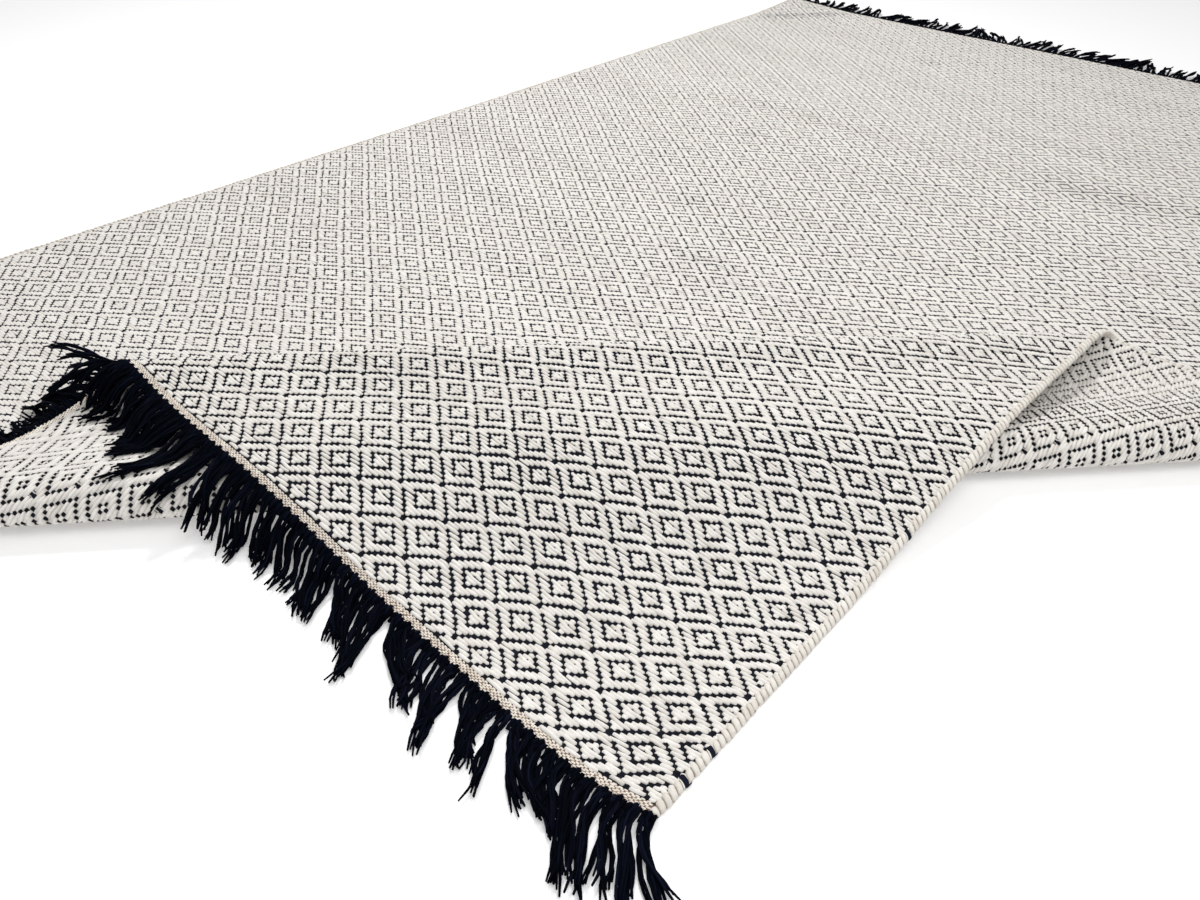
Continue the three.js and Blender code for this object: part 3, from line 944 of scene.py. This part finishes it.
# ---------------------------------------------------------------- floats
MAIN_DOTS = (1.9 * MM, 1.9 * MM)
FLAP_DOTS = (3.9 * MM, 3.9 * MM)
BACK_DOT_GAPS = (4.6 * MM, 4.8 * MM)
MAIN_LEAN = 0.3 * MM
FOLD_TILT = math.radians(5)
FLAP_FROM = RIDGE_RUN - 0.045
MAIN_TO = RUN_UP + 0.04
BACK_FROM, BACK_TO = RUN_UP + 0.01, RIDGE_RUN + 0.04
# How far in from the folds' open ends the field and the back can be seen.
FIELD_SEEN_IN, BACK_SEEN_IN = 0.16, 0.22
DOT_FOOT, DOT_CREST = -0.1, 0.55


def hidden_inside(u, v, run, along):
    """Main field well under the folded layers, away from their open ends."""
    out, _ = section(run, along)
    from_end = np.minimum(WIDTH - u, v)
    return (run > RUN_UP - 0.25) & (out > -0.10) & (from_end > FIELD_SEEN_IN)


def shown_back(u, v):
    """The back of the cloth where it shows: on the roll, and at the folds' open ends."""
    run, _ = fold_place(u, v)
    from_end = np.minimum(WIDTH - u, v)
    deep_in = (run > ROLL_RUN + 0.10) & (from_end > BACK_SEEN_IN)
    return (run > BACK_FROM) & (run < BACK_TO) & ~deep_in


def chart_dots(dots):
    """One repeat's navy dots as (end, pick, size): the warps that pass over the weft."""
    found = set()
    for j in range(REPEAT):
        bound, gaps = bound_ends(j, dots)
        inner = set()
        for left, right in gaps:
            if left_out((left, right), j):
                found.add(((left + 1) % REPEAT, j))
                inner |= {left, right % REPEAT}
        found |= {(i, j) for i in bound if i not in inner}
    return [(i, j, 1.0) for i, j in sorted(found)]


def dot_mesh(name, chart, side, shown, rng):
    """Joined low ridges, one where a warp crosses over the weft."""
    i, j, scale = over_the_cloth(chart)
    u, v = weave_place(i, j)
    keep = (u > CORD_WIDTH) & (u < WIDTH - CORD_WIDTH) & shown(u, v)
    keep &= (v > HEADING_DEPTH + MM) & (v < LENGTH - HEADING_DEPTH)
    u, v = u[keep], v[keep]
    count = len(u)
    u = u + rng.normal(0, 0.2 * MM, count)
    aside = np.array([-1, 1, 1, -1, 0, 0]) * DOT_HALF_WIDTH
    ahead = np.array([-1, -1, 1, 1, -DOT_CREST, DOT_CREST]) * DOT_HALF_LENGTH
    above = np.array([DOT_FOOT, DOT_FOOT, DOT_FOOT, DOT_FOOT, 1, 1]) * DOT_HEIGHT
    worn_away = worn(fold_place(u, v)[0], side)
    size = (scale[keep, 0] * noisy(rng, 0.1, count) * (1 - 0.6 * worn_away))[:, None]
    pu = u[:, None] + aside * size
    pv = v[:, None] + ahead * size
    points = laid(pu, pv, side * (GROUND_LEVEL + above)).reshape(-1, 3)
    shapes = ([(0, 4, 5, 3), (1, 2, 5, 4)], [(0, 1, 4), (2, 3, 5)])
    polygons = [copies(faces, count, 6, side) for faces in shapes]
    return mesh_object(name, points, polygons, cloth_maps(pu, pv), np.repeat(rng.normal(0.5, 0.2, count), 6))


def shown_flap(u, v):
    return fold_place(u, v)[0] > FLAP_FROM


def make_dots():
    rng = np.random.default_rng(SEED + 5)
    made = [
        dot_mesh("warp_dots_flap", chart_dots(FACE_DOTS) + MIDDLE_DOTS, 1, shown_flap, rng),
        dot_mesh("warp_dots_fold", chart_dots(BACK_DOTS), -1, shown_back, rng),
    ]
    paint(made, navy_material("warp_dots", 0.2))
    return made


def make_floats():
    rng = np.random.default_rng(SEED)
    made = []
    face = all_floats(FACE_DOTS)
    run, along = fold_place(face[:, 0], face[:, 1])
    main = face[(run < MAIN_TO) & ~hidden_inside(face[:, 0], face[:, 1], run, along)]
    third = LENGTH / 3
    for index, band in enumerate(("near", "middle", "far")):
        chosen = main[(main[:, 1] >= index * third) & (main[:, 1] < (index + 1) * third)]
        made.append(bead_mesh(f"floats_{band}", chosen, 1, 2, 3, MAIN_DOTS, MAIN_LEAN, 0.0, rng))
    flap = face[run > FLAP_FROM]
    made.append(bead_mesh("floats_flap", flap, 1, 3, 4, FLAP_DOTS, 0.0, FOLD_TILT, rng))
    back = all_floats(BACK_DOTS)
    back = back[shown_back(back[:, 0], back[:, 1])]
    made.append(bead_mesh("floats_fold", back, -1, 3, 4, BACK_DOT_GAPS, 0.0, FOLD_TILT, rng))
    paint(made, yarn_material("ivory_yarn"))
    return made


# ---------------------------------------------------------------- selvedges
WRAP_PITCH = 6.9 * MM
NAVY_WRAPS = (0.040, 0.070, 0.39)
NAVY_TINT = 4
# The tint of the first ring of each wrap: painted shade, dark brown in the crevice between turns of yarn.
CREVICE_PAINTED_SHADE = -2
OVERHANG = 0.8 * MM
WRAP_SLANT = 2.4 * MM
WRAP_LOW, WRAP_SWELL, WRAP_ROUND = 0.60, 0.46, 0.6
WRAP_NOISE, PITCH_NOISE = 0.06, 0.07
CUT_END = 0.8
CORD_STRIPS = 8
JUST_UNDER_ONE = 0.9999


def make_selvedge(name, centre, outward, rings, sides, rng):
    """The outer warps wrapped in weft: a cord of slanted swellings, one a turn of yarn, with painted shade
    in the crevices between turns.
    """
    count = round(LENGTH / WRAP_PITCH)
    wrap = np.repeat(np.arange(count), rings)
    share = np.tile(np.arange(rings) / rings, count)
    pitches = np.cumsum(noisy(rng, PITCH_NOISE, count + 1))
    starts = pitches / pitches[-1] * LENGTH
    starts = np.concatenate([[0.0], starts])[: count + 1]
    v = starts[wrap] + (starts[wrap + 1] - starts[wrap]) * share
    swell = np.abs(np.sin(math.pi * share)) ** WRAP_ROUND
    fat = noisy(rng, WRAP_NOISE, count)
    radius = (WRAP_LOW + WRAP_SWELL * swell) * fat[wrap]
    v = np.concatenate([v, [LENGTH]])
    radius = np.concatenate([radius, [CUT_END]])
    angle = np.linspace(0, 2 * math.pi, sides, endpoint=False)
    across = centre - outward * OVERHANG + (CORD_WIDTH / 2 + OVERHANG) * radius[:, None] * np.cos(angle)
    raise_by = (CORD_HEIGHT - THICKNESS) / 2
    level = raise_by + CORD_HEIGHT / 2 * radius[:, None] * np.sin(angle)
    level = np.maximum(level, -RESTING)
    slant = -outward * WRAP_SLANT * np.cos(angle) * np.sign(np.sin(angle) + 0.3)
    fade = np.minimum(1, np.minimum(v, LENGTH - v) / WRAP_PITCH)[:, None]
    length = v[:, None] + slant * fade
    points = laid(across, length, level).reshape(-1, 3)
    n_rings = len(v)
    walls = wall_faces(n_rings, sides)
    caps = np.array([(0, k, k + 1) for k in range(1, sides - 1)])
    tail = (n_rings - 1) * sides
    ends = np.array([(tail, tail + k + 1, tail + k) for k in range(1, sides - 1)])
    around = np.tile(angle / (2 * math.pi), n_rings)
    lengths = np.repeat(v, sides)
    share = lengths / LENGTH * CORD_STRIPS
    strip = np.floor(share * JUST_UNDER_ONE)
    bake = np.stack([(strip + 0.08 + 0.84 * around) / CORD_STRIPS, (share - strip) * 0.98 + 0.01], -1)
    cloth = np.stack([around * 0.025, lengths], -1)
    navy = np.zeros(count + 1)
    if outward > 0:
        for place in NAVY_WRAPS:
            navy[int(place / LENGTH * count)] = 1
    tint = np.repeat(rng.normal(0.5, 0.2, count + 1), rings)[:n_rings]
    tint = tint + NAVY_TINT * np.repeat(navy, rings)[:n_rings]
    # Painted shade: the first ring of each wrap is drawn dark, as the crevice between turns would be shaded.
    tint[::rings] = CREVICE_PAINTED_SHADE
    maps = {"OFBake": bake, "cloth": cloth}
    return mesh_object(name, points, [walls, caps, ends], maps, np.repeat(tint, sides))


# ---------------------------------------------------------------- headings
TICK_PITCH = 4.5 * MM
TICK_DEPTHS = (0.9, 2.6, 4.3, 6.0, 7.7, 9.2)
BARE_BACK = (0.36, 0.87)
BAND_BASE = 0.9 * MM
TICK_TALL, TICK_HALF_LONG, TICK_HALF_WIDE = 0.95 * MM, 2.1 * MM, 0.80 * MM
TICK_POINTS = 8
TICK_TURN = 3  # degrees
BAND_GAP, BAND_LAP = 0.3 * MM, 0.6 * MM
TICK_MARGIN = 1.5 * MM
BAND_STOPS_ALONG = 640
BAND_STRIPS = 16


def make_heading(name, edge_v, towards, sides, rng):
    """A band of fine plain weave: a thin slab under rows of small brick-laid floats.

    sides lists (side, from u, to u): the stretches that carry the floats, on the face (1) or back (-1).
    """
    left, right = CORD_WIDTH + BAND_GAP, WIDTH - CORD_WIDTH - BAND_GAP
    depth = sorted((edge_v, edge_v + towards * (HEADING_DEPTH + BAND_LAP)))
    at = np.array([-1, -0.5, -0.5, -0.5, 0.5, 0.5, 0.5, 1])
    aside = np.array([0, -1, 0, 1, -1, 0, 1, 0])
    above = np.array([-0.2, 0, 1, 0, 0, 1, 0, -0.2])
    quads = np.array([(1, 4, 5, 2), (2, 5, 6, 3)])
    tris = np.array([(0, 1, 2), (0, 2, 3), (7, 5, 4), (7, 6, 5)])
    points, flats, tints, polygons, first = [], [], [], [], 0
    for side, start, stop in sides:
        count = round((right - left) / TICK_PITCH)
        row = np.repeat(np.arange(len(TICK_DEPTHS)), count)
        u = left + (np.tile(np.arange(count), len(TICK_DEPTHS)) + 0.25 + 0.5 * (row % 2)) * TICK_PITCH
        v = edge_v + towards * np.array(TICK_DEPTHS)[row] * MM
        keep = (u > max(start, left + TICK_MARGIN)) & (u < min(stop, right - TICK_MARGIN))
        u, v = u[keep], v[keep]
        n = len(u)
        u = u + rng.normal(0, 0.25 * MM, n)
        v = v + rng.normal(0, 0.10 * MM, n)
        half_long = TICK_HALF_LONG * noisy(rng, 0.08, n)
        tilt = np.radians(rng.normal(0, TICK_TURN, n))
        s = half_long[:, None] * at
        t = TICK_HALF_WIDE * aside * np.ones((n, 1))
        pu, pv = swung(u, v, s, t, tilt)
        level = side * (BAND_BASE + TICK_TALL * above * noisy(rng, 0.1, n)[:, None])
        points.append(laid(pu, pv, level).reshape(-1, 3))
        flats.append(np.stack([pu.reshape(-1), pv.reshape(-1)], -1))
        tints.append(np.repeat(rng.normal(0.6, 0.15, n), TICK_POINTS))
        polygons += [copies(shape, n, TICK_POINTS, side, first) for shape in (quads, tris)]
        first += TICK_POINTS * n

    stops = BAND_STOPS_ALONG
    columns = np.linspace(left, right, stops)
    thin = between(columns, *BARE_BACK, 0.05) * (towards > 0)
    low = UNDERSIDE + (-BAND_BASE - UNDERSIDE) * thin
    top = np.full(stops, BAND_BASE)
    corner = [(depth[0], low), (depth[1], low), (depth[1], top), (depth[0], top)]
    slab = np.stack([laid(columns, np.full(stops, v_at), levels) for v_at, levels in corner], 1)
    points.append(slab.reshape(-1, 3))
    flats.append(np.stack([np.repeat(columns, 4), np.tile([v_at for v_at, _ in corner], stops)], -1))
    tints.append(np.full(4 * stops, -1.0))
    polygons.append(first + wall_faces(stops, 4)[:, ::-1])
    tail = first + (stops - 1) * 4
    ends = [(first, first + 1, first + 2, first + 3), (tail + 3, tail + 2, tail + 1, tail)]
    polygons.append(np.array(ends)[:, ::-1])

    flat = np.vstack(flats)
    share = (flat[:, 0] - left) / (right - left) * JUST_UNDER_ONE * BAND_STRIPS
    strip = np.clip(np.floor(share), 0, BAND_STRIPS - 1)
    rise = (flat[:, 1] - flat[:, 1].min()) / np.ptp(flat[:, 1])
    bake = np.stack([share - strip, (strip + 0.1 + 0.8 * rise) / BAND_STRIPS], -1)
    maps = {"OFBake": bake, "cloth": flat}
    return mesh_object(name, np.vstack(points), polygons, maps, np.concatenate(tints))


# ---------------------------------------------------------------- fringes
TASSEL_PITCH = 12 * MM
STRAND_RADIUS = 1.3 * MM
TWIST_RADIUS = 1.35 * MM
FLOAT_CLEAR = 1.6 * MM
STEEPEST = 0.88
HIGHEST_CORE = 75 * MM
LOOK_FROM = (6 * MM, 10 * MM)
HANGING = 0.5 * MM
SETTLE = 0.3
LAYER_SINK = 0.7
LOCK_SIZES = (1, 4)
LENGTH_NOISE, SWING_NOISE = 0.09, 0.12
TIP_NOISE, ELBOW_NOISE = 4.5 * MM, 2.5 * MM
ELBOW_SHARE = 0.33
PLY_SPREAD = 0.8
STRAND_TURNS, STRAND_LENGTHS = (0.8, 1.9), (0.86, 1.0)
TIP_OPENS, LOOSENESS = 1.1, 0.35 * MM
EDGE_MARGIN = 3 * MM
TASSEL_STRANDS = 3
STRAND_SIDES, KNOT_SIDES = 3, 6
BEYOND_EDGE = 5 * MM
STRAND_INSET = 1.0 * MM
TINY = 1e-12
BAKE_COLUMNS = 40
# A knot's stretch from the fringe over the heading's edge: how deep in, how high and how thick.
KNOT_DEPTHS = np.array([1.9, 1.0, -0.6, -2.6, -5.0, -8.0]) * MM
KNOT_LEVELS = np.array([0.6, 1.9, 2.3, 1.6, 0.0, -1.4]) * MM
KNOT_WIDTHS = np.array([1.1, 1.9, 2.2, 2.2, 2.0, 1.5]) * MM
# The three lumps of a knot: share of a tassel aside, and how much further in (mm).
KNOT_LUMPS = ((-0.3, -0.9), (0.0, 1.2), (0.3, -0.9))


def tubes(paths, radii, sides, reference):
    """Closed tubes along paths (n, k, 3). reference (n, 3) lies across each path."""
    n, k, _ = paths.shape
    tangent = np.gradient(paths, axis=1)
    tangent /= np.linalg.norm(tangent, axis=2, keepdims=True) + TINY
    side = reference[:, None, :] - (tangent * reference[:, None, :]).sum(2, keepdims=True) * tangent
    side /= np.linalg.norm(side, axis=2, keepdims=True) + TINY
    over = np.cross(tangent, side)
    angle = np.linspace(0, 2 * math.pi, sides, endpoint=False) + math.pi / sides
    ring = side[:, :, None, :] * np.cos(angle)[:, None] + over[:, :, None, :] * np.sin(angle)[:, None]
    points = paths[:, :, None, :] + ring * radii[:, :, None, None]
    quads = wall_faces(k, sides)[:, [0, 3, 2, 1]]
    caps = [tuple(range(sides - 1, -1, -1)), tuple(range((k - 1) * sides, k * sides))]
    return points.reshape(-1, 3), copies(quads, n, k * sides), copies(caps, n, k * sides)


def ground_height(tree, x, y, from_z):
    """The height of what lies under a point: the floor or the top of the floats."""
    hit = tree.ray_cast(Vector((x, y, from_z)), Vector((0, 0, -1)))
    return 0.0 if hit[0] is None else hit[0].z + FLOAT_CLEAR


def turned(direction, angle):
    c, s = math.cos(angle), math.sin(angle)
    return np.array([c * direction[0] - s * direction[1], s * direction[0] + c * direction[1]])


def drape(tree, root, slope, route, length, steps, layer, sag):
    """A strand of constant length that follows route on plan and sags until it rests."""
    step = length / (steps - 1)
    gone, place = 0.0, np.array(root, float)
    path = [place.copy()]
    for k in range(1, steps):
        rest = ground_height(tree, place[0], place[1], place[2] + LOOK_FROM[0]) + STRAND_RADIUS
        if place[2] > rest + layer + HANGING:
            slope = max(slope - sag, -STEEPEST)
        else:
            slope = slope * SETTLE
        gone += step * math.sqrt(1 - slope**2)
        place = np.array([*route(gone), place[2] + step * slope])
        rest = ground_height(tree, place[0], place[1], place[2] + LOOK_FROM[1]) + STRAND_RADIUS
        place[2] = min(max(place[2], rest + layer * (1 - LAYER_SINK * k / steps)), HIGHEST_CORE)
        path.append(place.copy())
    return path


def eased(path):
    """The path with its corners rounded; its two ends stay."""
    path = np.array(path)
    for _ in range(2):
        path[1:-1] = (path[:-2] + 2 * path[1:-1] + path[2:]) / 4
    return path


def twisted(core, across, rng):
    """Strands wound round one core, a little apart at the tip, each of its own length."""
    t = np.linspace(0, 1, len(core))
    side = np.array([*across, 0.0])
    up = np.array([0.0, 0.0, 1.0])
    turns = rng.uniform(*STRAND_TURNS) * rng.choice([-1, 1])
    start = rng.uniform(0, 2 * math.pi)
    apart = TWIST_RADIUS * (1 + TIP_OPENS * smoothstep((t - 0.75) / 0.25))
    made = []
    for strand in range(TASSEL_STRANDS):
        angle = start + 2 * math.pi * (strand / TASSEL_STRANDS + turns * t)
        angle = angle + rng.normal(0, 0.5) * smoothstep((t - 0.5) / 0.5)
        loose = rng.normal(0, LOOSENESS, (len(core), 1))
        raised = 0.6 * (1 + np.sin(angle))
        path = core + side * ((apart * np.cos(angle))[:, None] + loose) + up * (apart * raised)[:, None]
        cut = np.linspace(0, rng.uniform(*STRAND_LENGTHS), len(core)) * (len(core) - 1)
        made.append(np.stack([np.interp(cut, np.arange(len(core)), path[:, k]) for k in range(3)], -1))
    return made


def leaving(u, edge_v, outward, inset, level):
    """Where yarn leaves the cloth near an edge, and from there to a place a little outside it."""
    root = laid(u, edge_v - outward * inset, level)
    return root, laid(u, edge_v + outward * BEYOND_EDGE, level) - root


def strand_paths(tree, edge_v, outward, kind, rng):
    """Every strand of one fringe: out from the edge, gathered with its neighbours into locks."""
    tassels = round(WIDTH / TASSEL_PITCH)
    centres = (np.arange(tassels) + 0.5) * WIDTH / tassels
    paths, radii = [], []
    first = 0
    while first < tassels:
        size = min(int(rng.integers(*LOCK_SIZES)), tassels - first)
        members = centres[first : first + size]
        first += size
        middle = members.mean()
        lock_root, lock_ahead = leaving(middle, edge_v, outward, 0.0, 0.0)
        lock_out = lock_ahead[:2] / np.linalg.norm(lock_ahead[:2])
        lock_length = kind["length"] * (1 + rng.normal(0, LENGTH_NOISE))
        lean = kind["swing"](middle) + rng.normal(0, SWING_NOISE)
        lock_tip = lock_root[:2] + turned(lock_out, lean) * lock_length
        for centre in members:
            for ply in range(kind["plies"]):
                share = (ply + 0.5) / kind["plies"] - 0.5
                u = centre + share * TASSEL_PITCH * PLY_SPREAD
                u = np.clip(u, EDGE_MARGIN, WIDTH - EDGE_MARGIN)
                root_level = rng.uniform(-1.2, 1.0) * MM
                root, ahead = leaving(u, edge_v, outward, STRAND_INSET, root_level)
                slope = ahead[2] / np.linalg.norm(ahead)
                out = ahead[:2] / np.linalg.norm(ahead[:2])
                length = lock_length * rng.uniform(0.82, 1.05)
                if rng.random() < kind["stray"]:
                    tip = root[:2] + turned(out, lean + rng.uniform(-0.35, 0.25)) * length
                else:
                    spread = rng.normal(0, TIP_NOISE, 2)
                    tip = lock_tip + spread + turned(lock_out, lean) * (length - lock_length)
                elbow = root[:2] + out * length * ELBOW_SHARE + rng.normal(0, ELBOW_NOISE, 2)
                wave = rng.uniform(1.5, 4.5) * MM
                turns, phase = rng.uniform(0.8, 1.8), rng.uniform(0, 2 * math.pi)
                across = turned(tip - root[:2], math.pi / 2) / np.linalg.norm(tip - root[:2])

                def route(gone, root=root, elbow=elbow, tip=tip, length=length, across=across):
                    t = gone / length
                    at = root[:2] * (1 - t) ** 2 + elbow * 2 * t * (1 - t) + tip * t**2
                    return at + across * wave * min(1, 3 * t) * math.sin(phase + 2 * math.pi * turns * t)

                layer = rng.uniform(0, 1) ** 1.4 * kind["pile"]
                slope = min(STEEPEST, slope + kind["rise"] * rng.uniform(0, 1))
                core = eased(drape(tree, root, slope, route, length, kind["steps"], layer, kind["sag"](u)))
                for path in twisted(core, across, rng):
                    paths.append(path)
                    profile = np.ones(kind["steps"])
                    profile[-2:] = (1.05, 0.7)
                    radii.append(kind["radius"] * rng.uniform(0.85, 1.15) * profile)
    return np.array(paths), np.array(radii)


def hitches(edge_v, outward, rng):
    """Three rounded lumps a tassel where the warps are knotted over the heading's outer edge."""
    tassels = round(WIDTH / TASSEL_PITCH)
    paths, radii, across = [], [], []
    for tassel in range(tassels):
        for share, reach in KNOT_LUMPS:
            u = np.clip((tassel + 0.5 + share) * WIDTH / tassels, 2.2 * MM, WIDTH - 2.2 * MM)
            v = edge_v - outward * (KNOT_DEPTHS + reach * MM)
            level = KNOT_LEVELS * rng.uniform(0.85, 1.1)
            paths.append(laid(u + rng.normal(0, 0.3 * MM, 6), v, level))
            radii.append(KNOT_WIDTHS * rng.uniform(0.85, 1.1))
            side = laid(u + MM, v[2], level[2]) - laid(u - MM, v[2], level[2])
            across.append(side / np.linalg.norm(side) * -outward)
    return np.array(paths), np.array(radii), np.array(across)


def make_fringe(name, tree, edge_v, outward, kind, rng):
    paths, radii = strand_paths(tree, edge_v, outward, kind, rng)
    upward = np.tile((0.0, 0.0, 1.0), (len(paths), 1))
    knots, knot_radii, knot_across = hitches(edge_v, outward, rng)
    points, polygons, bakes, cloths, tints = [], [], [], [], []
    first, row = 0, 0
    rows = math.ceil((len(paths) + len(knots)) / BAKE_COLUMNS) + 1
    for bundle, widths, reference, sides in (
        (paths, radii, upward, STRAND_SIDES),
        (knots, knot_radii, knot_across, KNOT_SIDES),
    ):
        count, steps, _ = bundle.shape
        made, quads, caps = tubes(bundle, widths, sides, reference)
        made[:, 2] = np.maximum(made[:, 2], 0.1 * MM)
        points.append(made)
        polygons += [quads + first, caps + first]
        first += len(made)
        tube = row + np.repeat(np.arange(count), steps * sides)
        along = np.tile(np.repeat(np.arange(steps), sides) / (steps - 1), count)
        around = np.tile(np.arange(sides) / sides, count * steps)
        cell = (tube % BAKE_COLUMNS + 0.1 + 0.75 * around, tube // BAKE_COLUMNS + 0.05 + 0.9 * along)
        bakes.append(np.stack(cell, -1) / (BAKE_COLUMNS, rows))
        cloths.append(np.stack([tube * 0.01 + around * 0.008, along * 0.07], -1))
        tints.append(np.repeat(rng.normal(0.5, 0.22, count), steps * sides))
        row += count
    maps = {"OFBake": np.vstack(bakes), "cloth": np.vstack(cloths)}
    return mesh_object(name, np.vstack(points), polygons, maps, np.concatenate(tints))


NEAR_SWING = [
    (0.7, 0.1), (0.79, 0.28), (0.84, 0.1), (0.92, -0.40), (1.0, -0.30), (1.08, 0.1), (1.16, 0.45),
    (1.3, 0.62), (1.54, 0.62), (1.6, 0.9),
]
RIDGE_TASSELS = (0.745, 0.835)


def near_swing(u):
    """How far the near tassels lean from straight out, in radians towards the near right corner."""
    places, leans = zip(*NEAR_SWING)
    return np.interp(u, places, leans) + 0.12 * np.sin(u * 47 + 1)


def near_sag(u):
    """The strands at the ridge are held up by the ones behind them."""
    return 0.10 if RIDGE_TASSELS[0] < u < RIDGE_TASSELS[1] else 0.13


def far_sag(u):
    return 0.22


def far_swing(u):
    return 0.3 * np.sin(u * 13 + 0.5) + 0.25 * np.sin(u * 37)


NEAR_FRINGE = {
    "length": 84 * MM,
    "plies": 4,
    "steps": 12,
    "radius": STRAND_RADIUS,
    "pile": 6 * MM,
    "rise": 0.25,
    "sag": near_sag,
    "stray": 0.07,
    "swing": near_swing,
}
FAR_FRINGE = {
    "length": 72 * MM,
    "plies": 2,
    "steps": 8,
    "radius": 1.8 * MM,
    "pile": 9 * MM,
    "rise": 0.5,
    "sag": far_sag,
    "stray": 0.2,
    "swing": far_swing,
}


# ---------------------------------------------------------------- build
def fit(pieces):
    for piece in pieces:
        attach(piece, "root")


make_camera()
make_stage()
ground = make_ground()
floats = make_floats() + make_dots()
rng = np.random.default_rng(SEED + 1)
selvedges = [
    make_selvedge("selvedge_wraps_left", CORD_WIDTH / 2, -1, 4, 8, rng),
    make_selvedge("selvedge_wraps_right", WIDTH - CORD_WIDTH / 2, 1, 5, 12, rng),
]
headings = [
    make_heading("heading_weave_near", 0.0, 1, [(1, 0, WIDTH), (-1, *BARE_BACK)], rng),
    make_heading("heading_weave_far", LENGTH, -1, [(1, 0, WIDTH)], rng),
]
tree = BVHTree.FromPolygons(
    [vert.co.copy() for vert in ground.data.vertices],
    [tuple(face.vertices) for face in ground.data.polygons],
)
fringes = [
    make_fringe("fringe_strands_near", tree, 0.0, -1, NEAR_FRINGE, rng),
    make_fringe("fringe_strands_far", tree, LENGTH, 1, FAR_FRINGE, rng),
]
paint(selvedges, selvedge_material())
paint(headings, heading_material())
paint(fringes, navy_material("navy_strands", 0.03))

fit([ground, *floats])
fit(selvedges)
fit(headings)
fit(fringes)
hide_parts("rug_cloth")
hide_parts("selvedge_left")
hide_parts("selvedge_right")
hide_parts("heading_near")
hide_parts("heading_far")
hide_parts("fringe_near")
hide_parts("fringe_far")
